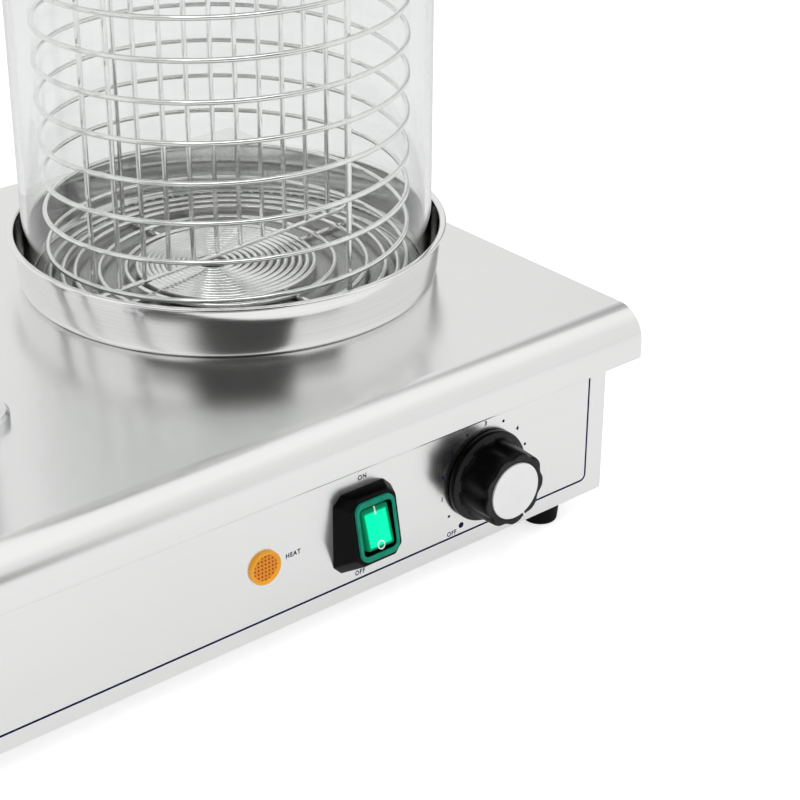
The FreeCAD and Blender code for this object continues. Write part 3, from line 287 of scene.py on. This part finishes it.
def stacked(outlines, cap_first=True, cap_last=True):
    """A body through closed outlines of equal point counts, each given with its height."""
    bm = bmesh.new()
    loops = [loop_at(bm, outline, z) for outline, z in outlines]
    for a, b in zip(loops, loops[1:]):
        bmesh.ops.bridge_loops(bm, edges=a + b)
    for wanted, loop in ((cap_first, loops[0]), (cap_last, loops[-1])):
        if wanted:
            bmesh.ops.contextual_create(bm, geom=loop)
    bmesh.ops.recalc_face_normals(bm, faces=bm.faces)
    return bm


def panel_place(x, z, out=0.0):
    """Turns the XY plane, Z outwards, onto the front panel at one point."""
    return Matrix.Translation((x, panel_y - out, z)) @ Matrix.Rotation(math.radians(90), 4, "X")


def switch_face_place():
    """Turns the XY plane, Z outwards, onto the switch's tilted face."""
    face = Matrix.Translation((switch_x + 0.4, panel_y - switch_face_depth, control_z + switch_face_rise))
    return face @ Matrix.Rotation(math.radians(-switch_tilt), 4, "X") @ Matrix.Rotation(math.radians(90), 4, "X")


def onto_panel(bm, x, z, out=0.0):
    """Places a body made in the XY plane, Z outwards, on the front panel."""
    bmesh.ops.transform(bm, matrix=panel_place(x, z, out), verts=bm.verts)
    return bm


def onto_switch_face(bm):
    """Places a body made in the XY plane, Z outwards, on the switch's tilted face."""
    bmesh.ops.transform(bm, matrix=switch_face_place(), verts=bm.verts)
    return bm


def join(target, other):
    """Adds one bmesh to another."""
    mesh = bpy.data.meshes.new("joined")
    other.to_mesh(mesh)
    other.free()
    target.from_mesh(mesh)
    bpy.data.meshes.remove(mesh)
    return target


def lettering(text, size, narrow=0.88, weight=0.09, depth=0.04):
    """Plain lettering as a thin body centred in the XY plane, Z outwards."""
    curve = bpy.data.curves.new("lettering", "FONT")
    curve.body = text
    curve.size = size
    curve.offset = weight
    curve.space_character = 1.2
    curve.align_x = "CENTER"
    curve.align_y = "CENTER"
    curve.extrude = depth / 2
    holder = bpy.data.objects.new("lettering", curve)
    mesh = bpy.data.meshes.new_from_object(holder)
    bm = bmesh.new()
    bm.from_mesh(mesh)
    bpy.data.objects.remove(holder)
    bpy.data.curves.remove(curve)
    bpy.data.meshes.remove(mesh)
    bmesh.ops.scale(bm, vec=(narrow, 1, 1), verts=bm.verts)
    return bm


# Shaders

def start(name, colour, rough, metallic=0.0):
    """A new material and its surface shader."""
    material = bpy.data.materials.new(name)
    material.use_nodes = True
    tree = material.node_tree
    surface = tree.nodes["Principled BSDF"]
    surface.inputs["Base Color"].default_value = (*colour, 1.0)
    surface.inputs["Roughness"].default_value = rough
    surface.inputs["Metallic"].default_value = metallic
    return material, tree, surface


def noise(tree, scales, detail=3.0, offset=(0, 0, 0)):
    """Noise on the object's own coordinates, in cells per metre along each axis."""
    place = add(tree, "ShaderNodeTexCoord")
    mapping = add(tree, "ShaderNodeMapping", None, {"Scale": scales, "Location": offset})
    tree.links.new(place.outputs["Object"], mapping.inputs["Vector"])
    made = add(tree, "ShaderNodeTexNoise", None, {"Scale": 1.0, "Detail": detail, "Roughness": 0.6})
    tree.links.new(mapping.outputs[0], made.inputs["Vector"])
    return made.outputs[0]


def ranged(tree, value, low, high, start_at=0.3, end_at=0.7):
    """Spreads a texture's value between two levels."""
    made = add(tree, "ShaderNodeMapRange", None,
               {"From Min": start_at, "From Max": end_at, "To Min": low, "To Max": high})
    tree.links.new(value, made.inputs["Value"])
    return made.outputs[0]


def blend_colours(tree, value, first, second):
    """A colour between two, led by a value from 0 to 1."""
    made = add(tree, "ShaderNodeMix", {"data_type": "RGBA"})
    made.inputs[6].default_value = (*first, 1.0)
    made.inputs[7].default_value = (*second, 1.0)
    tree.links.new(value, made.inputs[0])
    return made.outputs[2]


def relief(tree, surface, value, depth, strength=1.0):
    """Fine relief of the surface, with its depth in millimetres."""
    made = add(tree, "ShaderNodeBump", None, {"Distance": depth * MM, "Strength": strength})
    tree.links.new(value, made.inputs["Height"])
    tree.links.new(made.outputs[0], surface.inputs["Normal"])


def plain_finish(name, dark, light, rough, metallic=0.0, grain=2500, depth=0.01, specular=0.5):
    """A finish with fine grain: colour and gloss vary a little across it."""
    material, tree, surface = start(name, light, rough, metallic)
    surface.inputs["Specular IOR Level"].default_value = specular
    cloud = noise(tree, (60, 60, 60), 4.0)
    tree.links.new(blend_colours(tree, ranged(tree, cloud, 0, 1), dark, light), surface.inputs["Base Color"])
    fine = noise(tree, (grain, grain, grain), 2.0)
    tree.links.new(ranged(tree, fine, rough * 0.85, rough * 1.15), surface.inputs["Roughness"])
    relief(tree, surface, fine, depth)
    return material


def brushed_steel():
    """Sheet steel brushed along X: sharp along the grain, smeared across it."""
    material, tree, surface = start("brushed_steel", (0.86, 0.86, 0.855), 0.21, 1.0)
    lines = noise(tree, (6, 2600, 2600), 3.0)
    cloud = noise(tree, (9, 9, 9), 2.0)
    tone = calculate(tree, "ADD", ranged(tree, lines, 0, 0.6), ranged(tree, cloud, 0, 0.4))
    colour = blend_colours(tree, tone, (0.845, 0.845, 0.84), (0.885, 0.885, 0.88))
    tree.links.new(colour, surface.inputs["Base Color"])
    tree.links.new(ranged(tree, lines, 0.2, 0.225), surface.inputs["Roughness"])
    relief(tree, surface, lines, 0.0003)
    across = add(tree, "ShaderNodeTangent", {"direction_type": "RADIAL", "axis": "X"})
    tree.links.new(across.outputs[0], surface.inputs["Tangent"])
    surface.inputs["Anisotropic"].default_value = 0.5
    return material


def spun_steel(name, centre_x, centre_y, rough, dark, light):
    """Steel finished on a lathe: fine rings about a vertical axis."""
    material, tree, surface = start(name, light, rough, 1.0)
    place = add(tree, "ShaderNodeTexCoord")
    centred = add(tree, "ShaderNodeMapping", None, {"Location": (-centre_x * MM, -centre_y * MM, 0)})
    tree.links.new(place.outputs["Object"], centred.inputs["Vector"])
    parts = add(tree, "ShaderNodeSeparateXYZ")
    tree.links.new(centred.outputs[0], parts.inputs[0])
    across = calculate(tree, "SQRT", calculate(tree, "ADD",
                       calculate(tree, "MULTIPLY", parts.outputs["X"], parts.outputs["X"]),
                       calculate(tree, "MULTIPLY", parts.outputs["Y"], parts.outputs["Y"])))
    around = calculate(tree, "ARCTAN2", parts.outputs["Y"], parts.outputs["X"])
    rings = add(tree, "ShaderNodeCombineXYZ")
    tree.links.new(calculate(tree, "MULTIPLY", across, 1500.0), rings.inputs[0])
    tree.links.new(calculate(tree, "MULTIPLY", parts.outputs["Z"], 1500.0), rings.inputs[1])
    tree.links.new(calculate(tree, "MULTIPLY", around, 0.6), rings.inputs[2])
    lines = add(tree, "ShaderNodeTexNoise", None, {"Scale": 1.0, "Detail": 3.0, "Roughness": 0.6})
    tree.links.new(rings.outputs[0], lines.inputs["Vector"])
    tone = ranged(tree, lines.outputs[0], 0, 1)
    tree.links.new(blend_colours(tree, tone, dark, light), surface.inputs["Base Color"])
    tree.links.new(ranged(tree, lines.outputs[0], rough * 0.85, rough * 1.15), surface.inputs["Roughness"])
    relief(tree, surface, lines.outputs[0], 0.002)
    return material


def clear_glass():
    """Clear borosilicate glass with a trace of green and very faint waviness."""
    material, tree, surface = start("clear_glass", (0.985, 0.995, 0.99), 0.0)
    surface.inputs["Transmission Weight"].default_value = 1.0
    surface.inputs["IOR"].default_value = 1.47
    waves = noise(tree, (25, 25, 12), 1.0)
    relief(tree, surface, waves, 0.02, 0.3)
    return material


def lit_plastic(name, dark, light, glow, strength, rough=0.25):
    """Translucent coloured plastic with a lamp behind it."""
    material, tree, surface = start(name, light, rough)
    cloud = noise(tree, (220, 220, 220), 2.0)
    tree.links.new(blend_colours(tree, ranged(tree, cloud, 0, 1), dark, light), surface.inputs["Base Color"])
    surface.inputs["Emission Color"].default_value = (*glow, 1.0)
    surface.inputs["Emission Strength"].default_value = strength
    surface.inputs["Specular IOR Level"].default_value = 0.2
    surface.inputs["Subsurface Weight"].default_value = 0.2
    surface.inputs["Subsurface Radius"].default_value = (0.002, 0.002, 0.002)
    fine = noise(tree, (3000, 3000, 3000), 1.0)
    tree.links.new(ranged(tree, fine, rough * 0.8, rough * 1.2), surface.inputs["Roughness"])
    relief(tree, surface, fine, 0.004)
    return material


def make_finishes():
    """Every finish of the machine, by the record's slot names."""
    return {
        "brushed_steel": brushed_steel(),
        "pan_steel": spun_steel("pan_steel", pan_x, pan_y, 0.12, (0.84, 0.84, 0.83), (0.91, 0.91, 0.9)),
        "wire_steel": plain_finish("wire_steel", (0.8, 0.8, 0.79), (0.92, 0.92, 0.91), 0.11, 1.0, 900, 0.01),
        "zinc_steel": plain_finish("zinc_steel", (0.52, 0.53, 0.55), (0.68, 0.69, 0.7), 0.38, 1.0, 1200, 0.02),
        "cast_alloy": plain_finish("cast_alloy", (0.5, 0.5, 0.5), (0.62, 0.62, 0.61), 0.5, 1.0, 1500, 0.05),
        "spike_alloy": plain_finish("spike_alloy", (0.78, 0.78, 0.79), (0.86, 0.86, 0.87), 0.22, 1.0, 1800, 0.01),
        "heater_sheath": plain_finish("heater_sheath", (0.12, 0.115, 0.11), (0.24, 0.22, 0.2), 0.45, 1.0, 1500, 0.02),
        "clear_glass": clear_glass(),
        "black_plastic": plain_finish("black_plastic", (0.0012, 0.0012, 0.0013), (0.0024, 0.0024, 0.0026), 0.3,
                                      grain=3500, depth=0.008, specular=0.1),
        "knob_silver": plain_finish("knob_silver", (0.92, 0.92, 0.92), (0.96, 0.96, 0.96), 0.35, 0.5, 2500, 0.002),
        "green_plastic": lit_plastic("green_plastic", (0.003, 0.24, 0.15), (0.005, 0.32, 0.2), (0, 1, 0.5), 0.0),
        "amber_lens": lit_plastic("amber_lens", (0.62, 0.22, 0.012), (0.78, 0.33, 0.03), (1, 0.4, 0.03), 0.12),
        "dark_rubber": plain_finish("dark_rubber", (0.002, 0.002, 0.002), (0.005, 0.005, 0.005), 0.6,
                                    grain=2000, depth=0.03, specular=0.12),
        "grey_fibre": plain_finish("grey_fibre", (0.3, 0.3, 0.29), (0.45, 0.45, 0.43), 0.9, grain=1800, depth=0.15),
        "brass_part": plain_finish("brass_part", (0.62, 0.42, 0.14), (0.76, 0.55, 0.22), 0.25, 1.0, 1500, 0.01),
        "white_ceramic": plain_finish("white_ceramic", (0.74, 0.73, 0.69), (0.84, 0.83, 0.79), 0.4,
                                      grain=1500, depth=0.02),
        "lead_insulation": plain_finish("lead_insulation", (0.5, 0.48, 0.44), (0.68, 0.66, 0.6), 0.5,
                                        grain=1500, depth=0.02),
        "copper": plain_finish("copper", (0.62, 0.26, 0.14), (0.8, 0.4, 0.25), 0.25, 1.0, 1500, 0.01),
    }


def finish_frame(finishes):
    """Gives every carried-over node the finish of its slot."""
    for part in frame["record"]["subparts"]:
        shown = nodes[part["node"]]
        shown.data.materials.clear()
        shown.data.materials.append(finishes[part["material_slot"]])


# Basket

def coil_knots():
    """Turns and radii that the wire passes: even and tight at first, then opening out to the wall."""
    knots = [(float(k), floor_first_radius + floor_pitch * k) for k in range(floor_tight_turns + 1)]
    for k, radius in enumerate(opening_radii):
        knots.append((floor_tight_turns + 1.0 + k, radius))
    knots.append((knots[-1][0] + last_opening_turn, wall_radius))
    return knots


def knot_slope(knots, k):
    """Rise of the radius for each turn at one knot."""
    if k == len(knots) - 1:
        return 0.0
    before = knots[max(k - 1, 0)]
    after = knots[k + 1]
    return (after[1] - before[1]) / (after[0] - before[0])


def coil_radius(knots, turns):
    """Radius of the wire's centre line after a number of turns."""
    last = len(knots) - 1
    if turns >= knots[last][0]:
        return wall_radius
    k = max(i for i in range(last) if knots[i][0] <= turns or i == 0)
    width = knots[k + 1][0] - knots[k][0]
    s = (turns - knots[k][0]) / width
    a, b = knots[k][1], knots[k + 1][1]
    slope_a = knot_slope(knots, k) * width
    slope_b = knot_slope(knots, k + 1) * width
    s2 = s * s
    s3 = s2 * s
    return a * (2 * s3 - 3 * s2 + 1) + slope_a * (s3 - 2 * s2 + s) + b * (3 * s2 - 2 * s3) + slope_b * (s3 - s2)


def coil_rise(knots, turns):
    """Height gained above the basket's floor after a number of turns."""
    run = turns - knots[-1][0]
    if run <= 0:
        return 0.0
    if run < ramp_turn:
        return wall_pitch * run * run / (2 * ramp_turn)
    return wall_pitch * (run - ramp_turn / 2)


def wire_body(points, radius, sides=12):
    """A round wire through points, as a bmesh in millimetres."""
    curve = bpy.data.curves.new("wire", "CURVE")
    curve.dimensions = "3D"
    spline = curve.splines.new("POLY")
    spline.points.add(len(points) - 1)
    for slot, place in zip(spline.points, points):
        slot.co = (*place, 1.0)
    curve.bevel_depth = radius
    curve.bevel_resolution = sides // 2 - 1
    curve.use_fill_caps = True
    holder = bpy.data.objects.new("wire", curve)
    mesh = bpy.data.meshes.new_from_object(holder)
    bm = bmesh.new()
    bm.from_mesh(mesh)
    bpy.data.objects.remove(holder)
    bpy.data.curves.remove(curve)
    bpy.data.meshes.remove(mesh)
    bmesh.ops.recalc_face_normals(bm, faces=bm.faces)
    return bm


def make_coil(finishes):
    """One wire: the spiral floor starts off centre, opens out and climbs as the basket's wall."""
    knots = coil_knots()
    total = knots[-1][0] + wall_turns
    steps = int(total * 80)
    points = []
    for k in range(steps + 1):
        turns = total * k / steps
        angle = 2 * math.pi * turns + math.radians(coil_start_angle + basket_turn)
        radius = coil_radius(knots, turns)
        shift = max(0.0, 1.0 - turns / knots[-1][0])
        points.append((pan_x + floor_middle_shift[0] * shift + radius * math.cos(angle),
                       pan_y + floor_middle_shift[1] * shift + radius * math.sin(angle),
                       coil_z + coil_rise(knots, turns)))
    piece("basket_wire", wire_body(points, wire / 2), "basket", finishes["wire_steel"],
          ["basket_coil"])


# Water pan

def make_pan(finishes):
    """Pressed pan: shallow well, wall that turns in towards its foot, and a folded rim with a soft bead."""
    t = 0.8
    well = -1.6
    h = 26.5
    wall = ((101.3, 0.0), (101.85, 0.5), (102.4, 1.2), (102.95, 2.5), (103.4, 5.0), (103.7, 8.0), (104.0, 12.0),
            (104.7, 23.6))
    outside = arc((91.3, well + 0.7), 0.7, -90, 0, 4) + [(92.0, 0.0)] + list(wall)
    rim = arc((105.5, 23.9), 0.95, 175, 95, 4) + arc((106.7, 25.7), 0.75, -90, 0, 4) \
        + arc((106.7, 25.7), 0.8, 0, 90, 5)
    inside = arc((105.2, 25.2), 1.3, 90, 175, 6) + [(r - t, z) for r, z in wall[:2:-1]] \
        + arc((100.2, 1.8), 1.0, 0, -90, 5) + arc((92.0, 0.1), 0.7, 90, 180, 4) + arc((90.4, 0.0), 0.8, 0, -90, 4)
    profile = [(0.0, well)] + outside + rim + inside + [(0.0, well + t)]
    bm = turned(profile, 144)
    bmesh.ops.translate(bm, vec=(pan_x, pan_y, cover_top), verts=bm.verts)
    pan = piece("steam_pan", bm, "pan", finishes["pan_steel"], ["water_pan"], 50.0)
    # Painted shade: the pan's flat floor gets a darker, rougher copy of its steel, standing in for the shade in the
    # well under the basket and the glass.
    pan.data.materials.append(spun_steel("pan_floor_painted_shade", pan_x, pan_y, 0.3, (0.3, 0.3, 0.29), (0.42, 0.42, 0.41)))
    for face in pan.data.polygons:
        if face.normal.z > 0.9 and face.center.z < (cover_top + 2.0) * MM:
            face.material_index = 1


# Controls

def make_knob(finishes):
    """Knob: flat skirt, softly lobed grip, bright cap and its pointer line."""
    profile = [(0.0, 1.0), (21.6, 0.4), (22.3, 0.7), (22.5, 1.2), (22.5, 3.0), (22.2, 3.8), (21.6, 4.2), (19.9, 4.4),
               (19.3, 4.9), (19.1, 7.0), (18.9, 11.0), (18.65, 16.0), (18.45, 19.6), (18.25, 20.3), (17.8, 20.75),
               (17.3, 20.85), (14.6, 20.85), (14.35, 20.7), (14.25, 20.3), (0.0, 20.3)]
    bm = turned(profile, 216)
    for point in bm.verts:
        x, y, z = point.co
        radius = math.hypot(x, y)
        if z < 4.5 or radius < 14.8:
            continue
        angle = math.atan2(x, y) - math.radians(knob_lobe_angle)
        valley = (0.5 - 0.5 * math.cos(knob_lobes * angle)) ** 1.4
        depth = 1.3 * min(1.0, (z - 4.5) / 4.0)
        share = (radius - depth * valley) / radius
        point.co.x *= share
        point.co.y *= share
    bm.normal_update()
    # Painted sheen: the knob's flat faces turned away from the panel get a lighter black than its sides, standing in
    # for the light they catch.
    flat = [k for k, face in enumerate(bm.faces) if face.normal.z > 0.8]
    knob = piece("knob_body", onto_panel(bm, knob_x, dial_z), "knob", finishes["black_plastic"],
                 ["knob_grip"], 50.0)
    knob.data.materials.append(plain_finish("knob_face_painted_sheen", (0.012, 0.012, 0.013), (0.022, 0.022, 0.024), 0.4,
                                            grain=3500, depth=0.008, specular=0.2))
    for k in flat:
        knob.data.polygons[k].material_index = 1
    cap = turned([(0.0, 20.3), (13.75, 20.3), (13.95, 20.6), (14.0, 21.3), (13.8, 21.7), (13.4, 21.85),
                  (12.6, 21.9), (0.0, 21.9)], 144)
    bar = stacked([(rounded_outline(0.8, 4.6, 0.2, 4), 20.4), (rounded_outline(0.8, 4.6, 0.2, 4), 21.2)])
    bmesh.ops.translate(bar, vec=(0, 15.5, 0), verts=bar.verts)
    bmesh.ops.rotate(bar, cent=(0, 0, 0), matrix=Matrix.Rotation(math.radians(-pointer_angle), 3, "Z"),
                     verts=bar.verts)
    piece("knob_face", onto_panel(join(cap, bar), knob_x, dial_z), "knob",
          finishes["knob_silver"], ["knob_cap"])


def cut_corner_outline(width, height, cut, soft, steps=3):
    """A rectangle with cut corners, each corner a little rounded."""
    w, h, c = width / 2, height / 2, cut
    corners = [(w - c, -h), (w, -h + c), (w, h - c), (w - c, h), (-w + c, h), (-w, h - c), (-w, -h + c), (-w + c, -h)]
    points = []
    for k, corner in enumerate(corners):
        here = Vector(corner)
        before = (Vector(corners[k - 1]) - here).normalized() * soft
        after = (Vector(corners[(k + 1) % len(corners)]) - here).normalized() * soft
        for s in (i / steps for i in range(steps + 1)):
            bend = here + before * (1 - s) ** 2 + after * s ** 2
            points.append((bend.x, bend.y))
    return points


def ringed(outlines, place):
    """An open body through closed outlines of equal point counts, each at its height in its own place."""
    bm = bmesh.new()
    loops = []
    for outline, height, at in outlines:
        loop = loop_at(bm, outline, height)
        points = list({point for edge in loop for point in edge.verts})
        place[at](bm, points)
        loops.append(loop)
    for a, b in zip(loops, loops[1:]):
        bmesh.ops.bridge_loops(bm, edges=a + b)
    bmesh.ops.recalc_face_normals(bm, faces=bm.faces)
    return bm


def make_switch(finishes):
    """Rocker switch: thick black frame with a deep opening, and the green bezel in its front."""
    place = {"panel": lambda bm, points: bmesh.ops.transform(bm, matrix=panel_place(switch_x, control_z), verts=points),
             "face": lambda bm, points: bmesh.ops.transform(bm, matrix=switch_face_place(), verts=points)}
    frame_rings = [(cut_corner_outline(33.2, 40.4, 4.6, 0.6), 0.0, "panel")]
    for size, z in (((27.0, 32.8, 4.3), -2.9), ((25.6, 31.4, 4.1), -1.7), ((25.0, 30.8, 3.8), -1.5),
                    ((21.6, 27.6, 2.4), -1.5), ((19.0, 23.4, 1.8), -1.0), ((18.3, 22.6, 1.6), -0.7),
                    ((18.1, 22.4, 1.6), -6.0)):
        frame_rings.append((cut_corner_outline(*size, 0.6), z, "face"))
    piece("switch_housing", ringed(frame_rings, place), "base", finishes["black_plastic"],
          ["switch_frame"], 25.0)

    rings = []
    for width, height, radius, z in ((21.5, 27.7, 4.2, -2.0), (22.1, 28.3, 4.5, -1.6), (22.1, 28.3, 4.5, -0.6),
                                     (21.7, 27.9, 4.3, -0.15), (21.1, 27.3, 4.1, 0.0), (18.9, 23.3, 2.6, -0.2),
                                     (18.5, 22.8, 2.4, -0.6)):
        rings.append((rounded_outline(width, height, radius, 8), z, "face"))
    piece("switch_rim", ringed(rings, place), "base", finishes["green_plastic"],
          ["switch_bezel"], 30.0)


def make_rocker(finishes):
    """Lit rocker, pressed in at the top, with its window and the white line and ring."""
    width, height = 15.1, 19.2
    steps = [(rounded_outline(width, height, 1.4, 6), -5.8), (rounded_outline(width, height, 1.4, 6), -1.15),
             (rounded_outline(width - 0.3, height - 0.3, 1.3, 6), -0.8),
             (rounded_outline(width - 1.4, height - 1.4, 1.0, 6), -0.6)]
    rocker = stacked(steps)
    lean = Matrix.Translation((0, 0, -5.4)) @ Matrix.Rotation(math.radians(-rocker_lean), 4, "X") \
        @ Matrix.Translation((0, 0, 5.4))
    bmesh.ops.transform(rocker, matrix=lean, verts=rocker.verts)
    piece("rocker_body", onto_switch_face(rocker), "rocker_switch", lit_rocker(), ["rocker"], 40.0)

    bar = stacked([(rounded_outline(0.75, 3.9, 0.2, 3), -0.8), (rounded_outline(0.75, 3.9, 0.2, 3), -0.5)])
    bmesh.ops.translate(bar, vec=(0, 8.0, 0), verts=bar.verts)
    loop = turned([(1.55, -0.8), (2.1, -0.8), (2.1, -0.5), (1.55, -0.5)], 36, True)
    bmesh.ops.translate(loop, vec=(0, -8.3, 0), verts=loop.verts)
    marks = join(bar, loop)
    bmesh.ops.transform(marks, matrix=lean, verts=marks.verts)
    white = plain_finish("mark_white", (0.85, 0.87, 0.85), (0.95, 0.97, 0.95), 0.4, grain=3000, depth=0.004)
    piece("rocker_marks", onto_switch_face(marks), "rocker_switch", white)


def lit_rocker():
    """Green translucent rocker: the lamp inside lights a window and leaves the border darker."""
    material, tree, surface = start("lit_rocker", (0.0, 0.2, 0.1), 0.3)
    surface.inputs["Specular IOR Level"].default_value = 0.08
    place = add(tree, "ShaderNodeTexCoord")
    centre = switch_face_place().to_translation() * MM
    mapping = add(tree, "ShaderNodeMapping", {"vector_type": "TEXTURE"},
                  {"Location": centre, "Rotation": (math.radians(-switch_tilt), 0, 0)})
    tree.links.new(place.outputs["Object"], mapping.inputs["Vector"])
    parts = add(tree, "ShaderNodeSeparateXYZ")
    tree.links.new(mapping.outputs[0], parts.inputs[0])
    across = ranged(tree, calculate(tree, "ABSOLUTE", parts.outputs["X"]), 1, 0, 0.0056, 0.0066)
    along = ranged(tree, calculate(tree, "ABSOLUTE", parts.outputs["Z"]), 1, 0, 0.0074, 0.0084)
    window = calculate(tree, "MULTIPLY", across, along)
    cloud = ranged(tree, noise(tree, (90, 90, 90), 2.0), 0.92, 1.08)
    tree.links.new(blend_colours(tree, window, (0.0, 0.16, 0.07), (0.0, 0.2, 0.1)), surface.inputs["Base Color"])
    tree.links.new(blend_colours(tree, window, (0.0, 0.16, 0.06), (0.0, 0.86, 0.44)), surface.inputs["Emission Color"])
    level = calculate(tree, "MULTIPLY", cloud, ranged(tree, window, 0.5, 1.0, 0, 1))
    tree.links.new(level, surface.inputs["Emission Strength"])
    return material


def make_indicator(finishes):
    """Indicator: an amber lens with a raised rim round its dimpled face."""
    profile = [(0.0, -0.2), (8.0, -0.2), (8.15, 0.3), (8.1, 1.1), (7.85, 1.65), (7.4, 1.9), (7.0, 1.75), (6.7, 1.2),
               (6.4, 0.9), (0.0, 1.0)]
    piece("indicator_lens", onto_panel(turned(profile, 96), lamp_x, control_z), "base",
          dimpled_lens(), ["lamp_lens"], 40.0)


def dimpled_lens():
    """Amber plastic, lit from behind, with a grid of small dimples inside its rim; painted shade darkens the face
    inside the rim and, more deeply, the dimples.
    """
    material, tree, surface = start("dimpled_lens", (0.9, 0.45, 0.04), 0.25)
    place = add(tree, "ShaderNodeTexCoord")
    centred = add(tree, "ShaderNodeMapping", None, {"Location": (-lamp_x * MM, 0, -control_z * MM)})
    tree.links.new(place.outputs["Object"], centred.inputs["Vector"])
    parts = add(tree, "ShaderNodeSeparateXYZ")
    tree.links.new(centred.outputs[0], parts.inputs[0])
    waves = []
    squares = []
    for axis in ("X", "Z"):
        turns = calculate(tree, "MULTIPLY", parts.outputs[axis], 2 * math.pi / (1.9 * MM))
        waves.append(calculate(tree, "MULTIPLY_ADD", calculate(tree, "COSINE", turns), 0.5, 0.5))
        squares.append(calculate(tree, "MULTIPLY", parts.outputs[axis], parts.outputs[axis]))
    inside = eased(tree, calculate(tree, "SQRT", calculate(tree, "ADD", *squares)), 6.4 * MM, 5.9 * MM)
    # Painted shade: the dimples get a dark orange-brown colour and glow, and the same pattern gives their relief.
    dimples = calculate(tree, "MULTIPLY", eased(tree, calculate(tree, "MULTIPLY", *waves), 0.35, 0.7), inside)
    # Painted shade: the face inside the rim is darker and redder than the rim, in colour and in glow.
    body = blend_colours(tree, inside, (0.82, 0.36, 0.025), (0.72, 0.24, 0.008))
    tone = add(tree, "ShaderNodeMix", {"data_type": "RGBA"})
    tone.inputs[7].default_value = (0.2, 0.03, 0.001, 1.0)
    tree.links.new(dimples, tone.inputs[0])
    tree.links.new(body, tone.inputs[6])
    tree.links.new(tone.outputs[2], surface.inputs["Base Color"])
    surface.inputs["Specular IOR Level"].default_value = 0.3
    tree.links.new(tone.outputs[2], surface.inputs["Emission Color"])
    surface.inputs["Emission Strength"].default_value = 0.2
    relief(tree, surface, dimples, -0.2)
    return material


# Panel print

def ink():
    """Dark blue screen print, a little uneven."""
    return plain_finish("panel_ink", (0.004, 0.005, 0.045), (0.009, 0.011, 0.085), 0.6, grain=3000, depth=0.003,
                        specular=0.1)


def dial_place(angle, radius):
    """A point of the dial, with its angle clockwise from the top."""
    turn = math.radians(angle)
    return knob_x + radius * math.sin(turn), dial_z + radius * math.cos(turn)


def make_print():
    """The panel's printed outline, dial dots and numbers, and its few plain words."""
    proud = 0.03
    print_body = bmesh.new()
    for k in range(7):
        x, z = dial_place(-150 + 50 * k, 26.4)
        if k:
            join(print_body, onto_panel(lettering(str(k), 3.1, 1.05, 0.12), x, z, proud / 2))
    for angle in (-125, -75, -25, 25, 75, 125):
        add_dot(print_body, *dial_place(angle, 26.4), 0.75, proud)
    add_dot(print_body, *dial_place(-148.5, 26.6), 1.5, proud)
    words = (("OFF", 3.3, *dial_place(-141.8, 31.9)), ("ON", 3.3, panel_right - 152.2, panel_low + 60.3),
             ("OFF", 3.3, panel_right - 153.6, panel_low + 11.5), ("HEAT", 3.3, panel_right - 191.0, control_z + 0.6))
    for word, size, x, z in words:
        join(print_body, onto_panel(lettering(word, size), x, z, proud / 2))
    join(print_body, printed_outline(proud))
    piece("panel_print", print_body, "base", ink())


def add_dot(target, x, z, radius, proud):
    """A printed dot."""
    dot = bmesh.new()
    bmesh.ops.create_cone(dot, cap_ends=True, segments=24, radius1=radius, radius2=radius, depth=0.04)
    join(target, onto_panel(dot, x, z, proud / 2))


def printed_outline(proud):
    """The thin line round the panel: it runs up and is lost under the rolled edge."""
    line = 1.05
    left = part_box("cabinet_shell")[0].x / MM + 11.4
    right = panel_right - 11.4
    low = panel_low + 7.8
    high = panel_low + 69.0
    bm = bmesh.new()
    outer = rounded_outline(right - left, high - low, 3.6)
    inner = rounded_outline(right - left - 2 * line, high - low - 2 * line, 3.6 - line)
    bm_loops = [loop_at(bm, outer, 0.02), loop_at(bm, inner, 0.02)]
    bmesh.ops.bridge_loops(bm, edges=bm_loops[0] + bm_loops[1])
    made = bmesh.ops.extrude_face_region(bm, geom=bm.faces[:])
    bmesh.ops.translate(bm, vec=(0, 0, -0.04), verts=[v for v in made["geom"] if isinstance(v, bmesh.types.BMVert)])
    bmesh.ops.recalc_face_normals(bm, faces=bm.faces)
    return onto_panel(bm, (left + right) / 2, (low + high) / 2, proud / 2)


def main():
    """Builds the studio, gives the frame its finishes and adds the fine pieces."""
    random.seed(4)
    make_camera()
    make_world()
    make_floor()
    make_lamp("soft_top", (-0.6, -0.9, 2.2), (0.05, 0, 0.1), 1.8, 22.0)
    finishes = make_finishes()
    finish_frame(finishes)
    make_coil(finishes)
    make_pan(finishes)
    make_knob(finishes)
    make_switch(finishes)
    make_rocker(finishes)
    make_indicator(finishes)
    make_print()


bpy.context.scene.view_settings.view_transform = "Standard"
main()
